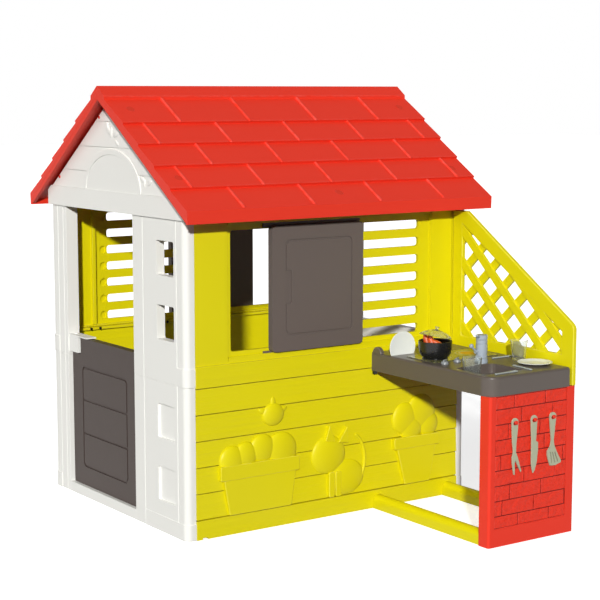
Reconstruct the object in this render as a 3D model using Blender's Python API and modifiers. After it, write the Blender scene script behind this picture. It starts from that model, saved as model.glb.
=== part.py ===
"""Plastic playhouse with a play kitchen at its side.

The house is a shell of moulded panels whose front and rear halves are the same mouldings turned half
round, so most pieces are built twice, under front_frame and under rear_frame. The kitchen stands out
from the front wall at its right-hand end. Metres, +Z up, origin under the middle of the whole object.
"""

import math

import bmesh
import bpy
from mathutils import Matrix, Vector

# Overall sizes of the house
HOUSE_LENGTH = 1.015  # X, between the outer faces of the two gables
HOUSE_DEPTH = 0.817  # Y, between the outer faces of the front and rear walls
RIDGE_HEIGHT = 1.27
EAVE_HEIGHT = 0.935
EAVE_OVERHANG = 0.075
GAP = 0.0003  # between pieces that touch
SLOPE_RUN = HOUSE_DEPTH / 2 + EAVE_OVERHANG
SLOPE_RISE = RIDGE_HEIGHT - EAVE_HEIGHT
SLOPE_LENGTH = math.hypot(SLOPE_RUN, SLOPE_RISE)

# Roof
ROOF_THICKNESS = 0.022
SKIRT_DEPTH = 0.011
SKIRT_WIDTH = 0.010
FASCIA_DEPTH = 0.036
FASCIA_THICKNESS = 0.010
RIDGE_END_OVERHANG = 0.0465
EAVE_END_OVERHANG = 0.035
RIDGE_CAP_LENGTH = 0.080
TILE_ROWS = 5
TILE_STEP = 0.007

# Quarter-turn clips that hold the roof
CLIP_HEAD_RADIUS = 0.012
CLIP_HEAD_DEPTH = 0.010
CLIP_HEAD_THICKNESS = 0.006
CLIP_STEM_RADIUS = 0.0055
CLIP_STEM_LENGTH = 0.055
CLIP_BAR_DEPTH = 0.036
CLIP_BAR_RADIUS = 0.0045
CLIP_BAR_REACH = 0.019
CLIP_INSET = 0.015
CLIP_ROWS = (0.110, SLOPE_LENGTH - 0.1512)  # distance down the slope from the ridge
CLIP_MIDDLE_ROW = SLOPE_LENGTH - 0.0582
CLIP_CLEARANCE = 0.0006

# Front and rear walls
CORNER_WRAP = 0.031
LOWER_WALL_TOP = 0.494
WALL_ROOF_CLEARANCE = 0.0102
UPPER_WALL_TOP = (
    EAVE_HEIGHT
    + (EAVE_OVERHANG * SLOPE_RISE - ROOF_THICKNESS * SLOPE_LENGTH) / SLOPE_RUN
    - WALL_ROOF_CLEARANCE
)
WALL_THICKNESS = 0.026
PLINTH_HEIGHT = 0.058
PLANK_COUNT = 5
BAND_HEIGHT = 0.0605
PLANK_PITCH = (LOWER_WALL_TOP - BAND_HEIGHT - PLINTH_HEIGHT) / PLANK_COUNT
PLANK_STEP = 0.002
BAND_PROUD = 0.004
WINDOW_START = 0.154
WINDOW_END = HOUSE_LENGTH - 0.184
WINDOW_BOTTOM = LOWER_WALL_TOP + 0.0315
WINDOW_TOP = UPPER_WALL_TOP - 0.0815
WINDOW_CORNER = 0.008
STILE_WIDTH = 0.012
SLOT_COUNT = 7
SLOT_HEIGHT = 0.0265
RECESS_START = 0.140
RECESS_END = HOUSE_LENGTH - 0.1426
RECESS_BOTTOM = LOWER_WALL_TOP + 0.018
RECESS_TOP = UPPER_WALL_TOP - 0.065
RECESS_DEPTH = 0.010
LOUVRE_THICKNESS = 0.010

# Sliding shutters
SHUTTER_WIDTH = 0.3225
SHUTTER_BOTTOM = RECESS_BOTTOM + 0.0015
SHUTTER_TOP = RECESS_TOP - 0.0095
SHUTTER_ROUND = 0.012
SHUTTER_PROUD = 0.012
SHUTTER_CLEARANCE = 0.0008
SHUTTER_STARTS = {"front": 0.282, "rear": 0.262}
SHOE_LENGTH = 0.020
GROOVE_DEPTH = 0.0045
GROOVE_LIP = 0.0035
SHOE_HEIGHT_CLEARANCE = 0.0008
GRIP_INSET = 0.044
GRIP_WIDTH = 0.0225
GRIP_HEIGHT = 0.0965
GRIP_BOTTOM = SHUTTER_BOTTOM + 0.1379
GRIP_ROUND = 0.004
GRIP_DEPTH = 0.004

# Gable panels
GABLE_THICKNESS = 0.027
POST_ROUND = 0.018
POST_DEPTH = 0.034
JAMB_DEPTH = 0.040
JAMB_WIDTH = 0.030
OPENING_START = 0.292
OPENING_END = HOUSE_DEPTH - 0.102
PANEL_JOINT = 0.437
GABLE_BEAM_BOTTOM = UPPER_WALL_TOP - 0.047
GABLE_BEAM_TOP = UPPER_WALL_TOP + 0.013
GABLE_BEAM_PROUD = 0.006
GABLE_ROOF_CLEARANCE = 0.008
SPY_HOLE_START = 0.061
SPY_HOLE_WIDTH = 0.095
SPY_HOLE_HEIGHT = 0.0985
SPY_HOLE_ROUND = 0.006
SPY_HOLE_BOTTOMS = (0.5590, 0.7415)
BLIND_BOTTOMS = (0.0920, 0.2750)
BLIND_DEPTH = 0.008
SILL_HEIGHT = 0.031
SILL_DEPTH = 0.040

# Half door
DOOR_THICKNESS = 0.026
DOOR_SETBACK = 0.009
DOOR_BOTTOM = 0.034
DOOR_TOP = LOWER_WALL_TOP + 0.003
DOOR_SIDE_CLEARANCE = 0.003
PIN_RADIUS = 0.0045
PIN_CLEARANCE = 0.0004
BRACKET_REACH = 0.041
BRACKET_HEIGHT = 0.0540
BRACKET_FLANGE = 0.004
BRACKET_FLANGE_REACH = 0.099
NOTCH_REACH = 0.0505
BRACKET_CLEARANCE = 0.0015

# Kitchen
KITCHEN_START = 0.648  # X of the end panel's left side
KITCHEN_END = 0.971
KITCHEN_REACH = 0.532  # Y, from the front wall's face to the end panel's outer face
END_PANEL_THICKNESS = 0.041
END_PANEL_SKIN = 0.010
END_PANEL_WALL = 0.010
END_PANEL_ROUND = 0.008
KITCHEN_PLINTH = 0.051
BRICK_RECESS = 0.003
BRICK_MARGIN_LEFT = 0.021
BRICK_MARGIN_RIGHT = 0.033
WORKTOP_TOP = LOWER_WALL_TOP - 0.014
WORKTOP_BOTTOM = WORKTOP_TOP - 0.055
WORKTOP_START = 0.645
WORKTOP_END = 0.953
WORKTOP_ROUND = 0.040
WORKTOP_SMALL_ROUND = 0.012
WORKTOP_FILLET = 0.008
EAR_WIDTH = 0.0145
EAR_REACH = 0.0425
EAR_RISE = 0.018
EAR_ROUND = 0.016
WORKTOP_HOLLOW = 0.020
WALL_CLIP = (0.012, 0.011, 0.010)
WORKTOP_WALL = 0.010
BASIN = ((0.667, -0.490), (0.812, -0.355))
BASIN_DEPTH = 0.028
BASIN_ROUND = 0.018
HOB = ((0.675, -0.262), (0.925, -0.125))
HOB_THICKNESS = 0.002
KNOB_PLACES = {"left": (0.690, -0.288), "right": (0.742, -0.282)}
KNOB_RADIUS = 0.0115
KNOB_HEIGHT = 0.013
KNOB_STEM = 0.004
TAP_PLACE = (0.789, -0.333)
TAP_RADIUS = 0.0145
TAP_HEIGHT = 0.068
TAP_CAP_HEIGHT = 0.014
RAIL_WIDTH = 0.038
RAIL_HEIGHT = 0.042
LATTICE_START = 0.957
LATTICE_THICKNESS = 0.014
LATTICE_POST = 0.048
LATTICE_FRAME_BOTTOM = WORKTOP_TOP + 0.030
LATTICE_TOP = EAVE_HEIGHT - FASCIA_DEPTH - 0.006
LATTICE_SHOULDER = 0.068
LATTICE_OUTER_TOP = WORKTOP_TOP + 0.1258
LATTICE_RAIL = 0.053
LATTICE_PITCH = (0.1086, 0.0985)
LATTICE_CENTRE = (-0.2245, WORKTOP_TOP + 0.1445)
LATTICE_OPENNESS = 0.62
LATTICE_SMALLEST = 0.00012

# Things on the worktop and hanging from the end panel
PLATE_RADIUS = 0.048
PLATE_THICKNESS = 0.004
PLATE_PLACE = (0.697, -0.085)
PLATE_RISE = 0.021
PLATE_SLOT_CLEARANCE = 0.0015
POT_PLACE = (0.725, -0.203)
POT_RADIUS = 0.050
POT_BASE_RADIUS = 0.038
POT_HEIGHT = 0.052
POT_WALL = 0.004
FOOD_LEVEL = 0.046
LID_TILT = 12.0
TUMBLER_PLACE = (0.912, -0.357)
BEAKER_PLACE = (0.702, -0.392)
DINNER_PLATE_PLACE = (0.901, -0.436)
PEG_LEVEL = WORKTOP_BOTTOM - 0.0775
PEG_RADIUS = 0.0035
PEG_HEAD_RADIUS = 0.0055
PEG_REACH = 0.013
UTENSIL_PLACES = {"serving_fork": 0.735, "kitchen_knife": 0.8065, "slotted_spatula": 0.878}
UTENSIL_THICKNESS = 0.004
UTENSIL_STANDOFF = 0.0025
UTENSIL_EYE = 0.0065
CUTLERY_THICKNESS = 0.0035

TILE_PITCH = (SLOPE_LENGTH - RIDGE_CAP_LENGTH) / TILE_ROWS
ORIGIN_X = HOUSE_LENGTH / 2
ORIGIN_Y = (HOUSE_DEPTH + EAVE_OVERHANG - KITCHEN_REACH - PEG_REACH) / 2
PIN_X = DOOR_SETBACK + DOOR_THICKNESS / 2
PIN_Y = OPENING_END - DOOR_SIDE_CLEARANCE - DOOR_THICKNESS / 2

PLANES = {
    "plan": Matrix(((1, 0, 0), (0, 1, 0), (0, 0, 1))),
    "front": Matrix(((1, 0, 0), (0, 0, -1), (0, 1, 0))),
    "side": Matrix(((0, 0, 1), (1, 0, 0), (0, 1, 0))),
}
NORMALS = {"plan": Vector((0, 0, 1)), "front": Vector((0, 1, 0)), "side": Vector((1, 0, 0))}


# Scene and materials


def clear_scene():
    for obj in list(bpy.data.objects):
        bpy.data.objects.remove(obj, do_unlink=True)


def new_collection(name):
    collection = bpy.data.collections.new(name)
    bpy.context.scene.collection.children.link(collection)
    return collection


def finish(name, colour, roughness, metallic=0.0, alpha=1.0):
    material = bpy.data.materials.new(name)
    material.use_nodes = True
    shader = material.node_tree.nodes["Principled BSDF"]
    shader.inputs["Base Color"].default_value = (*colour, 1.0)
    shader.inputs["Roughness"].default_value = roughness
    shader.inputs["Metallic"].default_value = metallic
    shader.inputs["Alpha"].default_value = alpha
    material.diffuse_color = (*colour, alpha)
    return material


def new_frame(name, location, turn=0.0):
    """An empty that carries one half of the house; what it carries is placed from the house's corner."""
    frame = bpy.data.objects.new(name, None)
    frame.location = location
    frame.rotation_euler = (0, 0, turn)
    parts.objects.link(frame)
    return frame


# Meshes


def block(low, high):
    """A box between two corners."""
    low, high = Vector(low), Vector(high)
    bm = bmesh.new()
    bmesh.ops.create_cube(bm, size=1.0)
    bmesh.ops.scale(bm, vec=high - low, verts=bm.verts)
    bmesh.ops.translate(bm, vec=(low + high) / 2, verts=bm.verts)
    return mesh_of(bm)


def cylinder(radius, start, end, sides=24, end_radius=None):
    """A cylinder, or a cone's frustum, from one point to another."""
    start, end = Vector(start), Vector(end)
    along = end - start
    bm = bmesh.new()
    bmesh.ops.create_cone(
        bm,
        cap_ends=True,
        segments=sides,
        radius1=radius,
        radius2=radius if end_radius is None else end_radius,
        depth=along.length,
    )
    turn = Vector((0, 0, 1)).rotation_difference(along).to_matrix()
    bmesh.ops.rotate(bm, cent=(0, 0, 0), matrix=turn, verts=bm.verts)
    bmesh.ops.translate(bm, vec=(start + end) / 2, verts=bm.verts)
    return mesh_of(bm)


def ball(radius, centre):
    bm = bmesh.new()
    bmesh.ops.create_uvsphere(bm, u_segments=16, v_segments=10, radius=radius)
    bmesh.ops.translate(bm, vec=centre, verts=bm.verts)
    return mesh_of(bm)


def mesh_of(bm):
    mesh = bpy.data.meshes.new("shape")
    bm.to_mesh(mesh)
    bm.free()
    return mesh


def plate(loops, plane, low, high):
    """A flat outline, with any holes as further loops, made as thick as low to high across its plane."""
    curve = bpy.data.curves.new("outline", "CURVE")
    curve.dimensions = "2D"
    curve.fill_mode = "BOTH"
    curve.extrude = (high - low) / 2
    for loop in loops:
        spline = curve.splines.new("POLY")
        spline.points.add(len(loop) - 1)
        for point, (u, v) in zip(spline.points, loop):
            point.co = (u, v, 0, 1)
        spline.use_cyclic_u = True
    holder = bpy.data.objects.new("outline", curve)
    parts.objects.link(holder)
    graph = bpy.context.evaluated_depsgraph_get()
    mesh = bpy.data.meshes.new_from_object(holder.evaluated_get(graph))
    bpy.data.objects.remove(holder, do_unlink=True)
    bm = bmesh.new()
    bm.from_mesh(mesh)
    bmesh.ops.remove_doubles(bm, verts=bm.verts, dist=1e-5)
    bmesh.ops.recalc_face_normals(bm, faces=bm.faces)
    bmesh.ops.rotate(bm, cent=(0, 0, 0), matrix=PLANES[plane], verts=bm.verts)
    bmesh.ops.translate(bm, vec=NORMALS[plane] * (low + high) / 2, verts=bm.verts)
    bm.to_mesh(mesh)
    bm.free()
    return mesh


def arc(centre, radius, start, end, steps):
    """Points on an arc, from one angle to another in degrees."""
    angles = [math.radians(start + (end - start) * i / steps) for i in range(steps + 1)]
    return [(centre[0] + radius * math.cos(a), centre[1] + radius * math.sin(a)) for a in angles]


def rounded(low, high, radius, steps=3):
    """A rectangle's outline with round corners."""
    (left, bottom), (right, top) = low, high
    corners = (
        ((right - radius, bottom + radius), -90),
        ((right - radius, top - radius), 0),
        ((left + radius, top - radius), 90),
        ((left + radius, bottom + radius), 180),
    )
    return [point for centre, start in corners for point in arc(centre, radius, start, start + 90, steps)]


def rectangle(low, high):
    return [low, (high[0], low[1]), high, (low[0], high[1])]


def clipped(polygon, point, inward):
    """The part of a convex polygon on the inward side of the line through point."""
    kept = []
    for here, there in zip(polygon, polygon[1:] + polygon[:1]):
        a = (here[0] - point[0]) * inward[0] + (here[1] - point[1]) * inward[1]
        b = (there[0] - point[0]) * inward[0] + (there[1] - point[1]) * inward[1]
        if a >= 0:
            kept.append(here)
        if a * b < 0:
            share = a / (a - b)
            kept.append(tuple(h + share * (t - h) for h, t in zip(here, there)))
    return kept


def area(polygon):
    pairs = zip(polygon, polygon[1:] + polygon[:1])
    return abs(sum(a[0] * b[1] - a[1] * b[0] for a, b in pairs)) / 2


# Objects


def add(name, mesh, material, frame, origin=(0, 0, 0), smooth=False):
    """An object whose mesh is given from the frame's corner and whose own origin is at origin."""
    mesh.transform(Matrix.Translation(-Vector(origin)))
    mesh.name = name
    mesh.materials.clear()
    mesh.materials.append(material)
    if smooth:
        mesh.shade_smooth()
        mesh.set_sharp_from_angle(angle=math.radians(35))
    obj = bpy.data.objects.new(name, mesh)
    obj.parent = frame
    obj.location = origin
    parts.objects.link(obj)
    return obj


def turned(name, profile, material, frame, origin, steps=28):
    """A solid of revolution about a vertical axis at origin; the profile runs down its outer side."""
    bm = bmesh.new()
    verts = [bm.verts.new((radius, 0, height)) for radius, height in profile]
    for a, b in zip(verts, verts[1:]):
        bm.edges.new((a, b))
    obj = add(name, mesh_of(bm), material, frame)
    obj.location = origin
    screw = obj.modifiers.new("turn", "SCREW")
    screw.steps = steps
    screw.render_steps = steps
    screw.use_merge_vertices = True
    screw.merge_threshold = 0.00001
    screw.use_smooth_shade = True
    return obj


def combine(obj, mesh, operation):
    """Cuts a mesh from an object, or joins it on. The mesh is given from the frame's corner."""
    tool = bpy.data.objects.new(f"{obj.name}_{operation.lower()}", mesh)
    tool.parent = obj.parent
    tool.hide_render = True
    tool.display_type = "WIRE"
    cutters.objects.link(tool)
    modifier = obj.modifiers.new(operation.lower(), "BOOLEAN")
    modifier.object = tool
    modifier.operation = operation
    modifier.solver = "EXACT"
    return tool


def cut(obj, mesh):
    return combine(obj, mesh, "DIFFERENCE")


def join(obj, mesh):
    return combine(obj, mesh, "UNION")


# The house's shell, in the coordinates of one half


def slope_point(along, out=0.0):
    """(y, z) of a point on a roof slope: its distance down from the ridge, and its height off the slope."""
    y = HOUSE_DEPTH / 2 - (along * SLOPE_RUN + out * SLOPE_RISE) / SLOPE_LENGTH
    z = RIDGE_HEIGHT + (out * SLOPE_RUN - along * SLOPE_RISE) / SLOPE_LENGTH
    return y, z


def slope_height(y, depth=0.0):
    """Height of the slope at y, or of a plane that lies depth under it."""
    y = min(y, HOUSE_DEPTH - y)
    return EAVE_HEIGHT + ((y + EAVE_OVERHANG) * SLOPE_RISE - depth * SLOPE_LENGTH) / SLOPE_RUN


def plank_profile(inner, top):
    """Outer side of a planked wall, from its foot up, as (distance in, height) with the inner side closed."""
    points = [(-BAND_PROUD, 0), (-BAND_PROUD, PLINTH_HEIGHT)]
    for row in range(PLANK_COUNT):
        foot = PLINTH_HEIGHT + row * PLANK_PITCH
        points += [(-PLANK_STEP, foot), (PLANK_STEP, foot + PLANK_PITCH)]
    band = PLINTH_HEIGHT + PLANK_COUNT * PLANK_PITCH
    return points + [(-BAND_PROUD, band), (-BAND_PROUD, top), (inner, top), (inner, 0)]


def lower_wall(side, frame):
    start = CORNER_WRAP + GAP
    profile = plank_profile(WALL_THICKNESS, LOWER_WALL_TOP)
    add(
        f"{side}_lower_wall",
        plate([profile], "side", start, HOUSE_LENGTH - start),
        YELLOW,
        frame,
    )


def slot_bottoms():
    pitch = (WINDOW_TOP - WINDOW_BOTTOM - SLOT_HEIGHT) / (SLOT_COUNT - 1)
    return [WINDOW_BOTTOM + pitch * i for i in range(SLOT_COUNT)]


def upper_wall(side, frame):
    start = CORNER_WRAP + GAP
    bottom = LOWER_WALL_TOP + GAP
    middle = (WINDOW_START + WINDOW_END) / 2
    holes = [
        rounded((WINDOW_START, WINDOW_BOTTOM), (middle - STILE_WIDTH / 2, WINDOW_TOP), WINDOW_CORNER)
    ]
    holes += [
        rounded((middle + STILE_WIDTH / 2, foot), (WINDOW_END, foot + SLOT_HEIGHT), WINDOW_CORNER)
        for foot in slot_bottoms()
    ]
    outline = rectangle((start, bottom), (HOUSE_LENGTH - start, UPPER_WALL_TOP))
    wall = add(
        f"{side}_upper_wall",
        plate([outline, *holes], "front", 0, WALL_THICKNESS),
        YELLOW,
        frame,
    )
    beyond = WALL_THICKNESS + RECESS_DEPTH
    recess_low = (RECESS_START, -RECESS_DEPTH, RECESS_BOTTOM)
    cut(wall, block(recess_low, (RECESS_END, RECESS_DEPTH, RECESS_TOP)))
    inner = RECESS_DEPTH + LOUVRE_THICKNESS
    cut(wall, block((RECESS_START, inner, RECESS_BOTTOM), (RECESS_END, beyond, RECESS_TOP)))
    groove_low = (RECESS_START, GROOVE_LIP, RECESS_BOTTOM - GROOVE_DEPTH)
    groove_high = (RECESS_END, RECESS_DEPTH, RECESS_TOP + GROOVE_DEPTH)
    cut(wall, block(groove_low, groove_high))
    cut(wall, clip_stem(HOUSE_LENGTH / 2, CLIP_MIDDLE_ROW, CLIP_CLEARANCE))


def shutter(side, frame):
    start = SHUTTER_STARTS[side]
    end = start + SHUTTER_WIDTH
    back = RECESS_DEPTH - SHUTTER_CLEARANCE
    middle = (start + end) / 2
    outline = rounded((start, SHUTTER_BOTTOM), (end, SHUTTER_TOP), SHUTTER_ROUND)
    origin = (middle, 0, (SHUTTER_BOTTOM + SHUTTER_TOP) / 2)
    leaf = add(
        f"{side}_shutter",
        plate([outline], "front", -SHUTTER_PROUD, back),
        TAUPE,
        frame,
        origin,
    )
    shoe_front = GROOVE_LIP + SHUTTER_CLEARANCE
    shoe_reach = GROOVE_DEPTH - SHOE_HEIGHT_CLEARANCE
    top = (SHUTTER_TOP - 0.004, RECESS_TOP + shoe_reach)
    bottom = (RECESS_BOTTOM - shoe_reach, SHUTTER_BOTTOM + 0.004)
    for low, high in (top, bottom):
        join(leaf, block((start - SHOE_LENGTH, shoe_front, low), (end - 0.001, back - 0.0001, high)))
    grip = (start + GRIP_INSET, GRIP_BOTTOM)
    grip_end = (grip[0] + GRIP_WIDTH, grip[1] + GRIP_HEIGHT)
    cut(leaf, plate([rounded(grip, grip_end, GRIP_ROUND)], "front", -0.05, GRIP_DEPTH - SHUTTER_PROUD))


def gable_panels(gable, frame):
    """The wide panel at one corner and the narrow post at the other, each in a lower and an upper piece."""
    round_corner = arc((POST_ROUND, POST_ROUND), POST_ROUND, 180, 270, 6)
    wide = [
        *round_corner,
        (CORNER_WRAP, 0),
        (CORNER_WRAP, POST_DEPTH),
        (GABLE_THICKNESS, POST_DEPTH),
        (GABLE_THICKNESS, OPENING_START - JAMB_WIDTH),
        (JAMB_DEPTH, OPENING_START - JAMB_WIDTH),
        (JAMB_DEPTH, OPENING_START),
        (0, OPENING_START),
    ]
    far_corner = arc((POST_ROUND, HOUSE_DEPTH - POST_ROUND), POST_ROUND, 90, 180, 6)
    narrow = [
        *far_corner,
        (0, OPENING_END),
        (JAMB_DEPTH, OPENING_END),
        (JAMB_DEPTH, OPENING_END + JAMB_WIDTH),
        (GABLE_THICKNESS, OPENING_END + JAMB_WIDTH),
        (GABLE_THICKNESS, HOUSE_DEPTH - POST_DEPTH),
        (CORNER_WRAP, HOUSE_DEPTH - POST_DEPTH),
        (CORNER_WRAP, HOUSE_DEPTH),
    ]
    heights = {
        "lower": (0, PANEL_JOINT),
        "upper": (PANEL_JOINT + GAP, GABLE_BEAM_BOTTOM - GAP),
    }
    for level, (foot, top) in heights.items():
        add(f"{gable}_gable_post_{level}", plate([narrow], "plan", foot, top), WHITE, frame)
        panel = add(f"{gable}_gable_panel_{level}", plate([wide], "plan", foot, top), WHITE, frame)
        bottoms = BLIND_BOTTOMS if level == "lower" else SPY_HOLE_BOTTOMS
        depth = BLIND_DEPTH if level == "lower" else 2 * GABLE_THICKNESS
        for bottom in bottoms:
            end = (SPY_HOLE_START + SPY_HOLE_WIDTH, bottom + SPY_HOLE_HEIGHT)
            hole = rounded((SPY_HOLE_START, bottom), end, SPY_HOLE_ROUND)
            cut(panel, plate([hole], "side", -0.02, depth))


def gable_top(gable, frame):
    """The triangle over the gable with the beam along its foot, and the seats of four roof clips."""
    depth = ROOF_THICKNESS + GABLE_ROOF_CLEARANCE * SLOPE_RUN / SLOPE_LENGTH
    beam_end = -GABLE_BEAM_PROUD
    full = (GABLE_BEAM_TOP - slope_height(0, depth)) * SLOPE_RUN / SLOPE_RISE
    beam = [
        (beam_end, GABLE_BEAM_BOTTOM),
        (HOUSE_DEPTH - beam_end, GABLE_BEAM_BOTTOM),
        (HOUSE_DEPTH - beam_end, slope_height(beam_end, depth)),
        (HOUSE_DEPTH - full, GABLE_BEAM_TOP),
        (full, GABLE_BEAM_TOP),
        (beam_end, slope_height(beam_end, depth)),
    ]
    foot = GABLE_BEAM_TOP - 0.02
    triangle = [
        (full, foot),
        (HOUSE_DEPTH - full, foot),
        (HOUSE_DEPTH - full, GABLE_BEAM_TOP),
        (HOUSE_DEPTH / 2, slope_height(HOUSE_DEPTH / 2, depth)),
        (full, GABLE_BEAM_TOP),
    ]
    top = add(
        f"{gable}_gable_top",
        plate([beam], "side", -GABLE_BEAM_PROUD, CORNER_WRAP),
        WHITE,
        frame,
    )
    join(top, plate([triangle], "side", 0, GABLE_THICKNESS))
    for row in CLIP_ROWS:
        for mirrored in (False, True):
            for mesh in (
                clip_stem(CLIP_INSET, row, CLIP_CLEARANCE),
                clip_bar(CLIP_INSET, row, CLIP_CLEARANCE),
            ):
                if mirrored:
                    mirror_across_ridge(mesh)
                cut(top, mesh)


def mirror_across_ridge(mesh):
    """Reflects a mesh to the other slope, with its faces kept outward."""
    mesh.transform(Matrix.Translation((0, HOUSE_DEPTH, 0)) @ Matrix.Scale(-1, 4, (0, 1, 0)))
    mesh.flip_normals()


# Roof


def clip_stem(x, row, extra=0.0):
    inner = slope_point(row, -CLIP_STEM_LENGTH - extra)
    outer = slope_point(row, -CLIP_HEAD_DEPTH + 0.001 + extra)
    return cylinder(CLIP_STEM_RADIUS + extra, (x, *inner), (x, *outer), 16)


def clip_bar(x, row, extra=0.0):
    y, z = slope_point(row, -CLIP_BAR_DEPTH)
    reach = CLIP_BAR_REACH + extra
    return cylinder(CLIP_BAR_RADIUS + extra, (x - reach, y, z), (x + reach, y, z), 16)


def clip_places():
    right = HOUSE_LENGTH - CLIP_INSET
    places = [(x, row) for row in CLIP_ROWS for x in (CLIP_INSET, right)]
    return [*places, (HOUSE_LENGTH / 2, CLIP_MIDDLE_ROW)]


def flared(mesh):
    """Stretches a mesh made one house long so that its ends overhang more at the ridge than at the eave."""
    for vert in mesh.vertices:
        share = (vert.co.z - EAVE_HEIGHT) / SLOPE_RISE
        overhang = EAVE_END_OVERHANG + share * (RIDGE_END_OVERHANG - EAVE_END_OVERHANG)
        middle = HOUSE_LENGTH / 2
        vert.co.x = middle + (vert.co.x - middle) * (middle + overhang) / middle
    return mesh


def roof_slope(side, frame):
    ridge_y = HOUSE_DEPTH / 2 - GAP / 2
    profile = [(ridge_y, slope_height(ridge_y))]
    for row in range(TILE_ROWS):
        edge = RIDGE_CAP_LENGTH + row * TILE_PITCH
        profile += [slope_point(edge), slope_point(edge, -TILE_STEP)]
    inner_y = FASCIA_THICKNESS - EAVE_OVERHANG
    profile += [
        (-EAVE_OVERHANG, EAVE_HEIGHT),
        (-EAVE_OVERHANG, EAVE_HEIGHT - FASCIA_DEPTH),
        (inner_y, EAVE_HEIGHT - FASCIA_DEPTH),
        (inner_y, slope_height(inner_y, ROOF_THICKNESS)),
        (ridge_y, slope_height(ridge_y, ROOF_THICKNESS)),
    ]
    slope = add(f"{side}_roof_slope", flared(plate([profile], "side", 0, HOUSE_LENGTH)), RED, frame)
    upper = ROOF_THICKNESS - 0.002
    lower = ROOF_THICKNESS + SKIRT_DEPTH
    skirt_end = inner_y - 0.003
    skirt = [
        (ridge_y, slope_height(ridge_y, upper)),
        (skirt_end, slope_height(skirt_end, upper)),
        (skirt_end, slope_height(skirt_end, lower)),
        (ridge_y, slope_height(ridge_y, lower)),
    ]
    inset = 0.0005
    for start in (inset, HOUSE_LENGTH - inset - SKIRT_WIDTH):
        join(slope, flared(plate([skirt], "side", start, start + SKIRT_WIDTH)))
    for x, row in clip_places():
        seat = slope_point(row, -CLIP_HEAD_DEPTH)
        above = slope_point(row, 0.02)
        cut(slope, cylinder(CLIP_HEAD_RADIUS + CLIP_CLEARANCE, (x, *seat), (x, *above), 20))
        cut(slope, clip_stem(x, row, CLIP_CLEARANCE))


def roof_clips(side, frame):
    for number, (x, row) in enumerate(clip_places(), 1):
        under = slope_point(row, GAP - CLIP_HEAD_DEPTH)
        over = slope_point(row, CLIP_HEAD_THICKNESS - CLIP_HEAD_DEPTH)
        origin = (x, *under)
        head = cylinder(CLIP_HEAD_RADIUS, (x, *under), (x, *over), 20)
        clip = add(f"{side}_roof_clip_{number}", head, DARK_RED, frame, origin)
        join(clip, clip_stem(x, row))
        if row in CLIP_ROWS:
            join(clip, clip_bar(x, row))


# Door side and plain side


def door_sill():
    low = (0, OPENING_START + GAP, 0)
    sill = add(
        "door_gable_sill",
        block(low, (SILL_DEPTH, OPENING_END - GAP, SILL_HEIGHT)),
        WHITE,
        front_frame,
    )
    join(sill, door_pin(SILL_HEIGHT - 0.002, DOOR_BOTTOM + 0.016))


def door_pin(foot, top, extra=0.0):
    return cylinder(PIN_RADIUS + extra, (PIN_X, PIN_Y, foot), (PIN_X, PIN_Y, top), 20)


def half_door():
    near = OPENING_START + DOOR_SIDE_CLEARANCE
    face, back = DOOR_SETBACK, DOOR_SETBACK + DOOR_THICKNESS
    corner = 0.004
    outline = [
        *arc((PIN_X, PIN_Y), DOOR_THICKNESS / 2, 0, 180, 12),
        *arc((face + corner, near + corner), corner, 180, 270, 3),
        *arc((back - corner, near + corner), corner, 270, 360, 3),
    ]
    origin = (PIN_X, PIN_Y, DOOR_BOTTOM)
    mesh = plate([outline], "plan", DOOR_BOTTOM, DOOR_TOP)
    door = add("half_door", mesh, DARK_TAUPE, front_frame, origin)
    notch = DOOR_TOP + BRACKET_FLANGE - BRACKET_HEIGHT
    notch_low = (face - 0.01, PIN_Y - NOTCH_REACH, notch)
    cut(door, block(notch_low, (back + 0.01, OPENING_END, DOOR_TOP + 0.01)))
    cut(door, door_pin(DOOR_BOTTOM - 0.01, DOOR_BOTTOM + 0.018, PIN_CLEARANCE))
    cut(door, door_pin(notch - 0.042, notch + 0.01, PIN_CLEARANCE))
    return notch


def door_hinge(notch):
    """The bracket over the door's notched corner, and the pin that drops through it into the door."""
    foot = notch + BRACKET_CLEARANCE
    top = foot + BRACKET_HEIGHT
    low = (PIN_X - 0.018, PIN_Y - BRACKET_REACH, foot)
    high = (PIN_X + 0.016, OPENING_END - GAP, top)
    bracket = add("door_hinge_bracket", block(low, high), WHITE, front_frame)
    flange_low = (low[0], PIN_Y - BRACKET_FLANGE_REACH, top - BRACKET_FLANGE)
    join(bracket, block(flange_low, (high[0], low[1] + 0.005, top)))
    cut(bracket, door_pin(foot - 0.01, top + 0.01, PIN_CLEARANCE))
    pin = add("door_hinge_pin", door_pin(notch - 0.040, top), WHITE, front_frame, (PIN_X, PIN_Y, top))
    head = cylinder(PIN_RADIUS + 0.003, (PIN_X, PIN_Y, top + GAP), (PIN_X, PIN_Y, top + 0.003), 20)
    join(pin, head)
    join(pin, door_pin(top - 0.001, top + 0.002))


def gable_infill():
    """The fixed panel that fills the plain gable's opening up to the top of the lower walls."""
    profile = [(x + BAND_PROUD + 0.004, z) for x, z in plank_profile(WALL_THICKNESS, LOWER_WALL_TOP)]
    mesh = plate([profile], "front", OPENING_START + GAP, OPENING_END - GAP)
    add("plain_gable_infill", mesh, WHITE, rear_frame)


# Kitchen


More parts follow.
